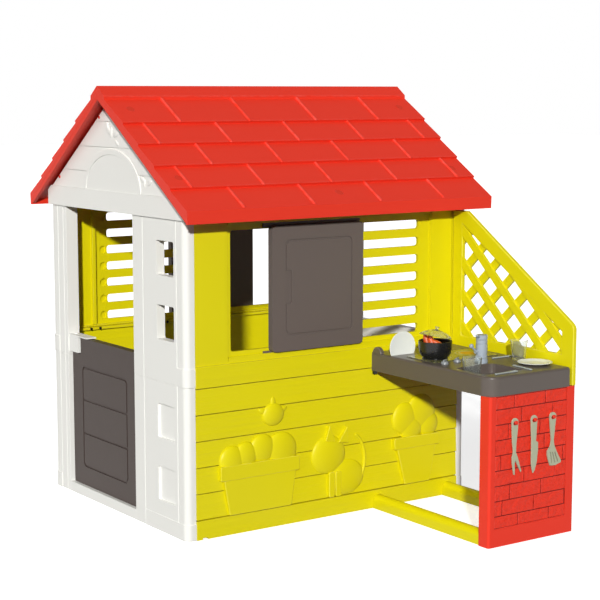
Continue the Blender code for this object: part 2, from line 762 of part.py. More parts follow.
def end_panel():
    """The brick-faced leg of the kitchen, open behind, with three pegs for the utensils."""
    face, back = -KITCHEN_REACH, END_PANEL_THICKNESS - KITCHEN_REACH
    corner = END_PANEL_ROUND
    outline = [
        *arc((KITCHEN_START + corner, face + corner), corner, 180, 270, 4),
        *arc((KITCHEN_END - corner, face + corner), corner, 270, 360, 4),
        (KITCHEN_END, back),
        (KITCHEN_START, back),
    ]
    panel = add("brick_end_panel", plate([outline], "plan", 0, WORKTOP_BOTTOM - GAP), RED, front_frame)
    left, right = KITCHEN_START + BRICK_MARGIN_LEFT, KITCHEN_END - BRICK_MARGIN_RIGHT
    field = (right, face + BRICK_RECESS, WORKTOP_BOTTOM + 0.02)
    cut(panel, block((left, face - 0.02, KITCHEN_PLINTH), field))
    hollow_low = (KITCHEN_START + END_PANEL_WALL, face + END_PANEL_SKIN + 0.004, END_PANEL_WALL)
    hollow_high = (KITCHEN_END - END_PANEL_WALL, back + 0.02, WORKTOP_BOTTOM - 0.012)
    cut(panel, block(hollow_low, hollow_high))
    for x in UTENSIL_PLACES.values():
        tip = face - PEG_REACH
        join(panel, cylinder(PEG_RADIUS, (x, face + 0.008, PEG_LEVEL), (x, tip + 0.001, PEG_LEVEL), 16))
        head = ((x, tip + 0.003, PEG_LEVEL), (x, tip, PEG_LEVEL))
        join(panel, cylinder(PEG_HEAD_RADIUS, *head, 16))


def worktop():
    back = -BAND_PROUD - GAP
    front = -KITCHEN_REACH
    big, small = WORKTOP_ROUND, WORKTOP_SMALL_ROUND
    outline = [
        *arc((WORKTOP_START + big, front + big), big, 180, 270, 8),
        *arc((WORKTOP_END - small, front + small), small, 270, 360, 4),
        (WORKTOP_END, back),
        (WORKTOP_START, back),
    ]
    mesh = plate([outline], "plan", WORKTOP_BOTTOM, WORKTOP_TOP)
    top = add("worktop", bevelled_top(mesh, WORKTOP_FILLET, back), TAUPE_TOP, front_frame)
    join(top, wall_ear(back))
    hollow_low = (WORKTOP_START + WORKTOP_WALL, front + WORKTOP_WALL + 0.012, WORKTOP_BOTTOM - 0.02)
    hollow_high = (WORKTOP_END - WORKTOP_WALL, back - WORKTOP_WALL, WORKTOP_BOTTOM + WORKTOP_HOLLOW)
    cut(top, block(hollow_low, hollow_high))
    floor = WORKTOP_TOP - BASIN_DEPTH
    cut(top, plate([rounded(*BASIN, BASIN_ROUND, 4)], "plan", floor, WORKTOP_TOP + 0.02))
    reach = math.sqrt(PLATE_RADIUS**2 - PLATE_RISE**2) + PLATE_SLOT_CLEARANCE
    slot = PLATE_THICKNESS / 2 + PLATE_SLOT_CLEARANCE
    foot = WORKTOP_TOP + PLATE_RISE - PLATE_RADIUS - GAP
    x, y = PLATE_PLACE
    cut(top, block((x - reach, y - slot, foot), (x + reach, y + slot, WORKTOP_TOP + 0.02)))


def wall_ear(back):
    """The rounded lug at the worktop's corner, which stands up against the wall."""
    tip = WORKTOP_TOP + EAR_RISE
    outline = [
        (back, WORKTOP_BOTTOM + 0.01),
        (back, tip),
        *arc((back - EAR_REACH + EAR_ROUND, tip - EAR_ROUND), EAR_ROUND, 90, 180, 6),
        (back - EAR_REACH, WORKTOP_BOTTOM + 0.01),
    ]
    start = WORKTOP_START + 0.0005
    return plate([outline], "side", start, start + EAR_WIDTH)


def bevelled_top(mesh, width, back):
    """Rounds the top edge of an upright prism, all but the side at the wall."""
    bm = bmesh.new()
    bm.from_mesh(mesh)
    bmesh.ops.dissolve_limit(bm, angle_limit=0.001, verts=bm.verts, edges=bm.edges)
    top = max(vert.co.z for vert in bm.verts)
    rim = [
        edge
        for edge in bm.edges
        if all(abs(vert.co.z - top) < 1e-6 for vert in edge.verts)
        and not all(abs(vert.co.y - back) < 1e-6 for vert in edge.verts)
    ]
    bmesh.ops.bevel(
        bm, geom=rim, offset=width, segments=3, profile=0.5, affect="EDGES", clamp_overlap=True
    )
    bm.to_mesh(mesh)
    bm.free()
    return mesh


def wall_clip():
    """The black catch under the worktop's corner, which hooks it to the front wall."""
    width, reach, height = WALL_CLIP
    low = (WORKTOP_START + 0.002, -BAND_PROUD - reach, WORKTOP_BOTTOM - height)
    high = (WORKTOP_START + 0.002 + width, -BAND_PROUD - GAP, WORKTOP_BOTTOM - GAP)
    add("worktop_wall_clip", block(low, high), BLACK, front_frame)


def hob():
    mesh = plate([rounded(*HOB, 0.012)], "plan", WORKTOP_TOP + GAP, WORKTOP_TOP + HOB_THICKNESS)
    add("hob_plate", mesh, HOB_GREY, front_frame)
    for side, (x, y) in KNOB_PLACES.items():
        skirt, shoulder = KNOB_RADIUS, KNOB_RADIUS * 0.8
        profile = [
            (0, KNOB_HEIGHT),
            (shoulder * 0.8, KNOB_HEIGHT - 0.001),
            (shoulder, KNOB_HEIGHT - 0.004),
            (skirt, KNOB_STEM * 0.6),
            (skirt, 0),
            (0, 0),
        ]
        turned(f"hob_knob_{side}", profile, PALE_GREY, front_frame, (x, y, WORKTOP_TOP + GAP), 24)


def tap():
    x, y = TAP_PLACE
    foot = WORKTOP_TOP + GAP
    ring, waist = TAP_RADIUS + 0.0015, TAP_RADIUS - 0.0015
    profile = [
        (0, TAP_HEIGHT),
        (waist, TAP_HEIGHT),
        (TAP_RADIUS, TAP_HEIGHT - 0.003),
        (TAP_RADIUS, 0.020),
        (waist, 0.018),
        (waist, 0.015),
        (ring, 0.013),
        (ring, 0),
        (0, 0),
    ]
    turned("tap_body", profile, TAP_GREY, front_frame, (x, y, foot), 28)
    low = foot + TAP_HEIGHT + GAP
    high = low + TAP_CAP_HEIGHT
    cap = cylinder(TAP_RADIUS, (x, y, low), (x, y, high), 28)
    spout = add("tap_spout", cap, TAP_GREY, front_frame, (x, y, low))
    beak_start = (x - TAP_RADIUS * 0.5, y - TAP_RADIUS * 0.2, low + 0.007)
    beak_end = (x - TAP_RADIUS - 0.014, y - 0.008, high + 0.001)
    join(spout, cylinder(0.0055, beak_start, beak_end, 14, 0.0035))
    pivot = (x - TAP_RADIUS - 0.004, y, foot + 0.034)
    knuckle_start = (x - TAP_RADIUS - GAP, y, pivot[2])
    knuckle_end = (x - TAP_RADIUS - 0.010, y, pivot[2])
    mesh = cylinder(0.0055, knuckle_start, knuckle_end, 14)
    lever = add("tap_lever", mesh, TAP_GREY, front_frame, pivot)
    ball_centre = (x - TAP_RADIUS - 0.024, y, pivot[2] + 0.018)
    join(lever, cylinder(0.0032, (knuckle_end[0] + 0.004, y, pivot[2]), ball_centre, 12))
    join(lever, ball(0.0065, ball_centre))


def base_rail(name, start):
    """A half-round channel rail on the ground, from the front wall to the end panel."""
    radius = RAIL_WIDTH / 2
    outline = [
        (start, 0),
        (start + RAIL_WIDTH, 0),
        *arc((start + radius, RAIL_HEIGHT - radius), radius, 0, 180, 10),
    ]
    ends = (END_PANEL_THICKNESS - KITCHEN_REACH + GAP, -BAND_PROUD - GAP)
    add(name, plate([outline], "front", *ends), YELLOW, front_frame)


def lattice_holes(inner):
    """Diamonds of the trellis, each cut off at the frame's inner edge."""
    pitch_y, pitch_z = LATTICE_PITCH
    half = (pitch_y / 2 * LATTICE_OPENNESS, pitch_z / 2 * LATTICE_OPENNESS)
    holes = []
    for column in range(-5, 6):
        for row in range(-6, 7):
            if (column + row) % 2:
                continue
            y = LATTICE_CENTRE[0] + column * pitch_y / 2
            z = LATTICE_CENTRE[1] + row * pitch_z / 2
            hole = [(y + half[0], z), (y, z + half[1]), (y - half[0], z), (y, z - half[1])]
            for (ay, az), (by, bz) in zip(inner, inner[1:] + inner[:1]):
                hole = clipped(hole, (ay, az), (az - bz, by - ay))
                if len(hole) < 3:
                    break
            if len(hole) > 2 and area(hole) > LATTICE_SMALLEST:
                holes.append(hole)
    return holes


def lattice():
    wall = -BAND_PROUD - GAP
    outer = -KITCHEN_REACH
    slant = (LATTICE_OUTER_TOP - LATTICE_TOP) / (outer + 0.0145 + LATTICE_SHOULDER)
    rail_foot = LATTICE_TOP + slant * (-LATTICE_POST + LATTICE_SHOULDER) - LATTICE_RAIL
    outline = [
        (outer, WORKTOP_BOTTOM),
        (wall, WORKTOP_BOTTOM),
        (wall, LATTICE_TOP),
        (-LATTICE_SHOULDER, LATTICE_TOP),
        (outer + 0.0145, LATTICE_OUTER_TOP),
        (outer + 0.004, LATTICE_OUTER_TOP - 0.009),
        (outer, LATTICE_OUTER_TOP - 0.018),
    ]
    left, right = -LATTICE_POST, outer + LATTICE_POST
    inner = [
        (right, LATTICE_FRAME_BOTTOM),
        (left, LATTICE_FRAME_BOTTOM),
        (left, rail_foot),
        (right, rail_foot + slant * (right - left)),
    ]
    ends = (LATTICE_START, LATTICE_START + LATTICE_THICKNESS)
    add("lattice_panel", plate([outline, *lattice_holes(inner)], "side", *ends), YELLOW, front_frame)


# Things of the kitchen


def standing_plate():
    x, y = PLATE_PLACE
    centre = (x, y, WORKTOP_TOP + PLATE_RISE)
    half = Vector((0, PLATE_THICKNESS / 2, 0))
    mesh = cylinder(PLATE_RADIUS, Vector(centre) + half, Vector(centre) - half, 40)
    add("standing_plate", mesh, PORCELAIN, front_frame, centre)


def pot_lift():
    return WORKTOP_TOP + HOB_THICKNESS + GAP


def pot():
    """The pot on the hob, what it cooks, and the clear lid that leans on its rim."""
    x, y = POT_PLACE
    origin = (x, y, pot_lift())
    inner_base = POT_BASE_RADIUS - POT_WALL
    inner_rim = POT_RADIUS - POT_WALL
    profile = [
        (0, POT_WALL),
        (inner_base, POT_WALL),
        (inner_rim - 0.002, POT_HEIGHT * 0.6),
        (inner_rim, POT_HEIGHT),
        (POT_RADIUS, POT_HEIGHT),
        (POT_RADIUS - 0.001, POT_HEIGHT * 0.6),
        (POT_BASE_RADIUS + 0.004, 0.008),
        (POT_BASE_RADIUS, 0),
        (0, 0),
    ]
    turned("cooking_pot", profile, BLACK, front_frame, origin, 32)
    food_radius = inner_base - 0.002
    food = [
        (0, FOOD_LEVEL),
        (food_radius * 0.7, FOOD_LEVEL - 0.004),
        (food_radius, FOOD_LEVEL - 0.012),
        (food_radius, 0),
        (0, 0),
    ]
    lift = (x, y, origin[2] + POT_WALL + GAP)
    turned("pot_food", food, ORANGE, front_frame, lift, 24)


def pot_lid():
    x, y = POT_PLACE
    wall = 0.002
    radius = POT_RADIUS - 0.002
    dome = [
        (0, 0.030),
        (0.005, 0.030),
        (0.006, 0.027),
        (0.004, 0.022),
        (radius * 0.5, 0.016),
        (radius * 0.85, 0.008),
        (radius, 0.002),
        (radius, 0),
        (radius - wall, 0),
        (radius * 0.85 - wall, 0.008 - wall),
        (radius * 0.5, 0.016 - wall),
        (0, 0.020 - wall),
    ]
    place = (x + 0.001, y, pot_lift() + POT_HEIGHT + math.sin(math.radians(LID_TILT)) * radius + 0.0012)
    lid = turned("pot_lid", dome, CLEAR, front_frame, place, 32)
    lid.rotation_euler = (0, math.radians(LID_TILT), 0)


def cup(name, place, base_radius, rim_radius, height, lift):
    wall = 0.002
    profile = [
        (0, 0.004),
        (base_radius - wall, 0.004),
        (rim_radius - wall, height),
        (rim_radius, height),
        (base_radius, 0),
        (0, 0),
    ]
    turned(name, profile, CLEAR, front_frame, (*place, lift + GAP), 28)


def dinner_plate():
    radius = 0.0505
    profile = [
        (0, 0.003),
        (radius * 0.62, 0.003),
        (radius * 0.95, 0.0075),
        (radius, 0.007),
        (radius * 0.66, 0),
        (0, 0),
    ]
    origin = (*DINNER_PLATE_PLACE, WORKTOP_TOP + GAP)
    turned("dinner_plate", profile, PORCELAIN, front_frame, origin, 36)


def utensil_outline(name):
    """Outlines from the peg's centre: across and down the utensil, with the eye in its handle."""
    eye = arc((0, -UTENSIL_EYE + PEG_RADIUS + 0.0006), UTENSIL_EYE, 0, 330, 11)
    handle = arc((0, 0), 0.0125, 0, 180, 6)
    if name == "serving_fork":
        blade = [(-0.009, -0.055), (-0.006, -0.072), (-0.005, -0.085), (-0.009, -0.098), (-0.0085, -0.115)]
        tines = [(-0.002, -0.148), (0.002, -0.148), (0.0005, -0.115), (0.004, -0.108), (0.009, -0.118)]
        right = [(0.024, -0.144), (0.026, -0.140), (0.012, -0.100), (0.005, -0.085), (0.006, -0.060)]
        body = [*handle, *blade, *tines, *right]
    elif name == "kitchen_knife":
        left = [(-0.0085, -0.060), (-0.0085, -0.120), (-0.006, -0.140), (-0.001, -0.1535)]
        right = [(0.006, -0.144), (0.013, -0.120), (0.0165, -0.090), (0.0165, -0.067), (0.0085, -0.062)]
        body = [*handle, *left, *right]
    else:
        left = [(-0.008, -0.040), (-0.0045, -0.068), (-0.008, -0.085), (-0.0185, -0.097), (-0.019, -0.110)]
        foot = [(-0.008, -0.140), (0.012, -0.142), (0.033, -0.136)]
        right = [(0.034, -0.130), (0.018, -0.104), (0.008, -0.085), (0.0045, -0.068), (0.008, -0.040)]
        body = [*handle, *left, *foot, *right]
    loops = [body, eye]
    if name == "slotted_spatula":
        for number in range(3):
            top = (-0.0095 + 0.0085 * number, -0.101 - 0.001 * number)
            bottom = (-0.0025 + 0.0115 * number, -0.134 + 0.0005 * number)
            loops.append([top, (top[0] + 0.0035, top[1]), (bottom[0] + 0.0035, bottom[1]), bottom])
    return loops


def utensils():
    back = -KITCHEN_REACH - UTENSIL_STANDOFF
    for name, x in UTENSIL_PLACES.items():
        loops = [[(x + u, PEG_LEVEL + v) for u, v in loop] for loop in utensil_outline(name)]
        mesh = plate(loops, "front", back - UTENSIL_THICKNESS, back)
        add(name, mesh, SAGE, front_frame, (x, back, PEG_LEVEL))


def cutlery_outline(kind):
    """A fork, knife or spoon seen from above, along +X from its handle's end."""
    if kind == "fork":
        head = [(0.066, -0.0055), (0.086, -0.0055), (0.086, -0.002), (0.074, -0.002)]
        head += [(0.074, 0.002), (0.086, 0.002), (0.086, 0.0055), (0.066, 0.0055)]
    elif kind == "knife":
        head = [(0.052, -0.002), (0.054, -0.0055), (0.078, -0.0055), (0.084, -0.001), (0.080, 0.0025)]
    else:
        head = [point for point in arc((0.074, 0), 0.0085, -150, 150, 12)]
    neck = [(0.045, -0.0022)]
    back = [(0.045, 0.0022)]
    return [(0, -0.003), *neck, *head, *back, (0, 0.003)]


def cutlery():
    places = {
        "table_fork": ("fork", (0.690, -0.503), 4.0),
        "table_knife": ("knife", (0.829, -0.424), -93.0),
        "table_spoon": ("spoon", (0.862, -0.298), 0.0),
    }
    for name, (kind, (x, y), turn) in places.items():
        low = WORKTOP_TOP + GAP
        mesh = plate([cutlery_outline(kind)], "plan", low, low + CUTLERY_THICKNESS)
        mesh.transform(Matrix.Translation((x, y, 0)) @ Matrix.Rotation(math.radians(turn), 4, "Z"))
        add(name, mesh, SAGE_GREY, front_frame, (x, y, low))


def build():
    for side, gable, frame in (("front", "door", front_frame), ("rear", "plain", rear_frame)):
        lower_wall(side, frame)
        upper_wall(side, frame)
        shutter(side, frame)
        gable_panels(gable, frame)
        gable_top(gable, frame)
        roof_slope(side, frame)
        roof_clips(side, frame)
    door_sill()
    door_hinge(half_door())
    gable_infill()
    end_panel()
    worktop()
    wall_clip()
    hob()
    tap()
    base_rail("base_rail_left", KITCHEN_START + 0.004)
    base_rail("base_rail_right", KITCHEN_END - 0.008 - RAIL_WIDTH)
    lattice()
    standing_plate()
    pot()
    pot_lid()
    cup("tumbler", TUMBLER_PLACE, 0.019, 0.0255, 0.058, WORKTOP_TOP)
    cup("beaker", BEAKER_PLACE, 0.024, 0.028, 0.060, WORKTOP_TOP - BASIN_DEPTH)
    dinner_plate()
    utensils()
    cutlery()


clear_scene()
parts = new_collection("playhouse")
cutters = new_collection("playhouse_cutters")
YELLOW = finish("yellow_plastic", (0.72, 0.64, 0.004), 0.42)
WHITE = finish("white_plastic", (0.79, 0.79, 0.76), 0.45)
RED = finish("red_plastic", (0.78, 0.045, 0.02), 0.40)
DARK_RED = finish("red_clip_plastic", (0.70, 0.035, 0.018), 0.40)
TAUPE = finish("taupe_plastic", (0.147, 0.118, 0.107), 0.50)
DARK_TAUPE = finish("dark_taupe_plastic", (0.098, 0.077, 0.067), 0.50)
TAUPE_TOP = finish("worktop_plastic", (0.145, 0.118, 0.100), 0.38)
HOB_GREY = finish("hob_plastic", (0.10, 0.10, 0.075), 0.25)
PALE_GREY = finish("pale_grey_plastic", (0.52, 0.56, 0.58), 0.35)
TAP_GREY = finish("tap_plastic", (0.36, 0.42, 0.48), 0.30)
SAGE = finish("sage_plastic", (0.45, 0.47, 0.33), 0.45)
SAGE_GREY = finish("cutlery_plastic", (0.42, 0.45, 0.42), 0.35)
PORCELAIN = finish("plate_plastic", (0.78, 0.80, 0.78), 0.30)
BLACK = finish("black_plastic", (0.012, 0.012, 0.012), 0.35)
ORANGE = finish("food_plastic", (0.72, 0.14, 0.02), 0.40)
CLEAR = finish("clear_plastic", (0.85, 0.88, 0.85), 0.08, alpha=0.35)
front_frame = new_frame("front_frame", (-ORIGIN_X, -ORIGIN_Y, 0))
rear_frame = new_frame(
    "rear_frame", (HOUSE_LENGTH - ORIGIN_X, HOUSE_DEPTH - ORIGIN_Y, 0), math.pi
)
build()
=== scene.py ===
"""Finished look of a plastic garden playhouse with a play kitchen at its side.

Sizes are metres. Unless a name says otherwise, places are measured from the house's corner on the ground,
where the outer faces of the door gable and the front wall meet. X runs along the ridge, Y goes in and Z is
up.
The rear wall, the rear roof slope and the plain gable are the front mouldings turned half round.
"""

import functools
import logging
import math
from dataclasses import dataclass
from enum import Enum
from typing import Any, Iterable, Sequence

import bmesh
import bpy
from mathutils import Matrix, Vector, noise


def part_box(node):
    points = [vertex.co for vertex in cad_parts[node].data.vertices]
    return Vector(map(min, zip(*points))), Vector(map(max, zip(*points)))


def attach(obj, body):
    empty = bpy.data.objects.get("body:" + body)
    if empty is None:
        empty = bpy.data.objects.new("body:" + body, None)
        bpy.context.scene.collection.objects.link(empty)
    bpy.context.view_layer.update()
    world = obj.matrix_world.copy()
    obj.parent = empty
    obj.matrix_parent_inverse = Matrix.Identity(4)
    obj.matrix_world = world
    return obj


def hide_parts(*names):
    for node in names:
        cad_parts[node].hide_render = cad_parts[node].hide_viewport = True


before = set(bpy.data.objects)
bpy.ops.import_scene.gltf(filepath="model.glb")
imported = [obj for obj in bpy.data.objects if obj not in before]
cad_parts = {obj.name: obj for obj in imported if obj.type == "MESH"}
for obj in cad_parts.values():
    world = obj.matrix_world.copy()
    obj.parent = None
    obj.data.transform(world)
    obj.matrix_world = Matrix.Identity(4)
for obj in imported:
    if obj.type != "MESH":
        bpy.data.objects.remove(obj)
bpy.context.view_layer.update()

LOG = logging.getLogger("playhouse")
CORNER = Vector((*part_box("door_gable_panel_lower")[0].xy, 0.0))
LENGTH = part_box("plain_gable_panel_lower")[1].x - CORNER.x
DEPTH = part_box("door_gable_post_lower")[1].y - CORNER.y
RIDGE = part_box("front_roof_slope")[1].z
HOUSE = "house"
WEAR_AND_HIGHLIGHT_MARK = "edge"
CLEARANCE = 0.0003

Pair = tuple[float, float]
Triple = tuple[float, float, float]
Shape = bmesh.types.BMesh
Socket = bpy.types.NodeSocket


class Half(Enum):
    """The two halves of the house, which come from the same moulds."""

    FRONT = "front"
    REAR = "rear"

    @property
    def gable(self) -> str:
        """Name of the gable that is moulded with this half."""
        return "door" if self is Half.FRONT else "plain"

    @property
    def place(self) -> Matrix:
        """Turns the half's own coordinates into the frame's."""
        corner = Matrix.Translation(CORNER)
        if self is Half.FRONT:
            return corner
        return corner @ Matrix.Translation((LENGTH, DEPTH, 0)) @ Matrix.Rotation(math.pi, 4, "Z")


class Plane(Enum):
    """The plane that a flat outline is drawn in; it gets its thickness across that plane."""

    FRONT = "xz"
    SIDE = "yz"
    PLAN = "xy"

    def point(self, u: float, v: float, w: float) -> Vector:
        """The point (u, v) of the plane, at w across it."""
        if self is Plane.FRONT:
            return Vector((u, w, v))
        if self is Plane.SIDE:
            return Vector((w, u, v))
        return Vector((u, v, w))


class Grain(Enum):
    """Texture that the mould leaves on a surface."""

    FINE = "fine stipple"
    WOOD = "wood grain along the wall"
    STONE = "rough stone"


# Shader building


class Signal:
    """A number in a shader. Python's operators on it add Math nodes."""

    def __init__(self, shader: "Shader", socket: Socket) -> None:
        """Wraps one output socket."""
        self.shader = shader
        self.socket = socket

    def _math(self, operation: str, first: Any, second: Any = 0.0) -> "Signal":
        """Adds a Math node and wraps its result."""
        node = self.shader.node("ShaderNodeMath", {"operation": operation}, {0: first, 1: second})
        return Signal(self.shader, node.outputs[0])

    def __add__(self, other: Any) -> "Signal":
        """self + other."""
        return self._math("ADD", self, other)

    def __radd__(self, other: Any) -> "Signal":
        """other + self."""
        return self._math("ADD", other, self)

    def __sub__(self, other: Any) -> "Signal":
        """self - other."""
        return self._math("SUBTRACT", self, other)

    def __rsub__(self, other: Any) -> "Signal":
        """other - self."""
        return self._math("SUBTRACT", other, self)

    def __mul__(self, other: Any) -> "Signal":
        """self * other."""
        return self._math("MULTIPLY", self, other)

    def __rmul__(self, other: Any) -> "Signal":
        """other * self."""
        return self._math("MULTIPLY", other, self)

    def __abs__(self) -> "Signal":
        """Distance from zero."""
        return self._math("ABSOLUTE", self)

    def above(self, low: float, high: float) -> "Signal":
        """0 below low, 1 above high, and even between them."""
        node = self.shader.node(
            "ShaderNodeMapRange", {"clamp": True}, {"Value": self, "From Min": low, "From Max": high}
        )
        return Signal(self.shader, node.outputs["Result"])


class NodeTree:
    """A node tree built from nothing."""

    def __init__(self, owner: bpy.types.Material | bpy.types.World) -> None:
        """Empties the owner's tree."""
        owner.use_nodes = True
        self.tree = owner.node_tree
        self.tree.nodes.clear()

    def feed(self, socket: Socket, value: Any) -> None:
        """Links a signal or a socket to an input, or sets a plain value on it."""
        source = value.socket if isinstance(value, Signal) else value
        if isinstance(source, Socket):
            self.tree.links.new(source, socket)
        else:
            socket.default_value = source

    def node(self, kind: str, settings: dict[str, Any], inputs: dict[Any, Any]) -> bpy.types.Node:
        """Adds a node.

        Args:
            kind: The node's type.
            settings: Its own settings, which are set first.
            inputs: What its sockets get: a Signal, a socket or a plain value.

        Returns:
            The node.
        """
        node = self.tree.nodes.new(kind)
        for key, value in settings.items():
            setattr(node, key, value)
        for key, value in inputs.items():
            self.feed(node.inputs[key], value)
        return node


class Shader(NodeTree):
    """One material's node tree around a Principled shader."""

    def __init__(self, name: str) -> None:
        """Starts an empty material with its shader and output."""
        self.material = bpy.data.materials.new(name)
        super().__init__(self.material)
        self.principled = self.node("ShaderNodeBsdfPrincipled", {}, {})
        self.node("ShaderNodeOutputMaterial", {}, {"Surface": self.principled.outputs["BSDF"]})
        self.place = self.node("ShaderNodeTexCoord", {}, {}).outputs["Object"]

    def stretched(self, scale: Triple, shift: Triple = (0.0, 0.0, 0.0)) -> Socket:
        """Object coordinates, moved and stretched."""
        inputs = {"Vector": self.place, "Location": shift, "Scale": scale}
        return self.node("ShaderNodeMapping", {}, inputs).outputs["Vector"]

    def noise(self, scale: float, detail: float = 3.0, vector: Any = None) -> Signal:
        """Cloudy noise between 0 and 1."""
        inputs = {"Vector": vector or self.place, "Scale": scale, "Detail": detail, "Roughness": 0.55}
        return Signal(self, self.node("ShaderNodeTexNoise", {}, inputs).outputs["Fac"])

    def mix(self, share: Signal, start: Any, end: Any) -> Socket:
        """A colour between two others."""
        node = self.node("ShaderNodeMix", {"data_type": "RGBA", "clamp_factor": True}, {})
        for key, value in (("Factor", share), ("A", start), ("B", end)):
            self.feed(next(s for s in node.inputs if s.name == key and s.enabled), value)
        return next(s for s in node.outputs if s.enabled)

    def edges(self) -> Signal:
        """The wear and painted-highlight mark: 1 along rounded edges, which are rubbed, and a share over
        whole roof joints and lips, where a highlight is painted; broken up a little, and 0 on flat faces.
        """
        settings = {"attribute_type": "GEOMETRY", "attribute_name": WEAR_AND_HIGHLIGHT_MARK}
        mark = Signal(self, self.node("ShaderNodeAttribute", settings, {}).outputs["Fac"])
        return mark * self.noise(45.0).above(0.30, 0.70)

    def bump(self, height: Signal, distance: float) -> Socket:
        """A normal raised by a height between 0 and 1, times a distance in metres."""
        inputs = {"Height": height, "Distance": distance, "Strength": 1.0}
        return self.node("ShaderNodeBump", {}, inputs).outputs["Normal"]

    def surface(self, **values: Any) -> bpy.types.Material:
        """Sets the shader's sockets, with _ for a space in their names, and gives back the material."""
        for key, value in values.items():
            self.feed(self.principled.inputs[key.replace("_", " ")], value)
        return self.material


def shade(colour: Triple, times: float) -> tuple[float, float, float, float]:
    """A colour made darker or lighter, with alpha."""
    return (*(min(1.0, part * times) for part in colour), 1.0)


def towards(colour: Triple, other: Triple, share: float) -> Triple:
    """A colour part of the way to another."""
    red, green, blue = (a + (b - a) * share for a, b in zip(colour, other))
    return (red, green, blue)


@dataclass(frozen=True)
class Plastic:
    """Moulded plastic: even colour with slow drift, a fine stipple, edges rubbed a little lighter, and a
    painted highlight on shapes that are marked as a whole.
    """

    name: str
    slot: str
    colour: Triple
    roughness: float = 0.42
    drift: float = 0.018
    wear_and_highlight_share: float = 0.18
    gloss: float = 0.22
    relief: float = 0.00010
    grain: Grain = Grain.FINE

    def height(self, shader: Shader) -> tuple[Signal, float]:
        """The mould's texture as a height from 0 to 1, and its depth in metres."""
        if self.grain is Grain.WOOD:
            lines = shader.noise(1.0, 5.0, shader.stretched((3.2, 30.0, 95.0)))
            swirl = shader.noise(1.0, 2.0, shader.stretched((1.4, 9.0, 30.0)))
            return lines * 0.7 + swirl * 0.3, 0.0024
        if self.grain is Grain.STONE:
            rough = shader.noise(55.0, 6.0)
            chips = shader.noise(170.0, 3.0)
            return rough * 0.75 + chips * 0.25, 0.0070
        return shader.noise(620.0, 2.0), self.relief

    @functools.lru_cache
    def material(self) -> bpy.types.Material:
        """The finish as a material, made once."""
        shader = Shader(self.name)
        drift = shader.noise(1.6, 2.0) * 0.8 + shader.noise(9.0) * 0.2
        body = shader.mix(
            drift.above(0.3, 0.7), shade(self.colour, 1 - self.drift), shade(self.colour, 1 + self.drift)
        )
        # The lighter tint is real wear on rounded edges, and a painted highlight where a whole shape is
        # marked (roof joints and lips).
        wear_and_highlight_tint = towards(self.colour, (0.95, 0.93, 0.9), 0.35)
        height, depth = self.height(shader)
        return shader.surface(
            Base_Color=shader.mix(shader.edges() * self.wear_and_highlight_share, body, shade(wear_and_highlight_tint, 1.0)),
            Roughness=self.roughness - 0.05 + shader.noise(30.0) * 0.06 + shader.noise(240.0) * 0.04,
            Normal=shader.bump(height, depth),
            Specular_IOR_Level=self.gloss,
        )


@dataclass(frozen=True)
class ClearPlastic:
    """Clear, slightly cloudy plastic of cups and lids."""

    name: str = "clear_plastic_finish"
    slot: str = "clear_plastic"
    tint: Triple = (0.93, 0.96, 0.94)

    @functools.lru_cache
    def material(self) -> bpy.types.Material:
        """The finish as a material, made once."""
        shader = Shader(self.name)
        cloud = shader.noise(60.0).above(0.35, 0.7)
        return shader.surface(
            Base_Color=shader.mix(cloud, shade(self.tint, 1.0), shade(self.tint, 0.95)),
            Roughness=0.02 + shader.noise(140.0) * 0.05,
            Normal=shader.bump(shader.noise(90.0), 0.00025),
            Transmission_Weight=0.94,
            IOR=1.40,
        )


@dataclass(frozen=True)
class HobPrint:
    """Printed film on the hob: flecked green-grey glass, cooking rings, and a glow on one of them."""

    name: str = "hob_print_finish"
    slot: str = "hob_print"
    rings: tuple[Pair, ...] = ((0.737, -0.197), (0.866, -0.190))

    def distance(self, shader: Shader, centre: Pair) -> Signal:
        """Distance from a ring's centre, in plan."""
        shift = (-centre[0] - CORNER.x, -centre[1] - CORNER.y, 0.0)
        flat = shader.stretched((1.0, 1.0, 0.0), shift)
        node = shader.node("ShaderNodeVectorMath", {"operation": "LENGTH"}, {0: flat})
        return Signal(shader, node.outputs["Value"])

    @functools.lru_cache
    def material(self) -> bpy.types.Material:
        """The finish as a material, made once."""
        shader = Shader(self.name)
        flecks = shader.noise(190.0, 5.0).above(0.42, 0.66)
        base = shader.mix(flecks, (0.05, 0.055, 0.032, 1), (0.30, 0.29, 0.10, 1))
        patches = shader.noise(24.0).above(0.4, 0.6)
        base = shader.mix(patches * 0.6, base, (0.19, 0.17, 0.13, 1))
        glow = 1 - self.distance(shader, self.rings[1]).above(0.022, 0.036)
        base = shader.mix(glow * 0.85, base, (0.62, 0.20, 0.03, 1))
        for centre in self.rings:
            away = self.distance(shader, centre)
            for radius in (0.030, 0.041):
                line = 1 - abs(away - radius).above(0.0008, 0.0017)
                base = shader.mix(line * 0.8, base, (0.60, 0.60, 0.52, 1))
        return shader.surface(
            Base_Color=base,
            Roughness=0.16 + shader.noise(80.0) * 0.08,
            Normal=shader.bump(shader.noise(400.0), 0.00004),
            Specular_IOR_Level=0.55,
        )


@dataclass(frozen=True)
class CookedFood:
    """Play food: warm orange, browned in patches."""

    name: str = "play_food_finish"
    slot: str = "food_orange"
    colour: Triple = (0.66, 0.10, 0.014)
    browned: Triple = (0.30, 0.035, 0.008)

    @functools.lru_cache
    def material(self) -> bpy.types.Material:
        """The finish as a material, made once."""
        shader = Shader(self.name)
        patches = shader.noise(95.0, 3.0).above(0.45, 0.68)
        return shader.surface(
            Base_Color=shader.mix(patches * 0.7, shade(self.colour, 1.0), shade(self.browned, 1.0)),
            Roughness=0.30 + shader.noise(200.0) * 0.15,
            Normal=shader.bump(shader.noise(260.0, 4.0), 0.0005),
        )


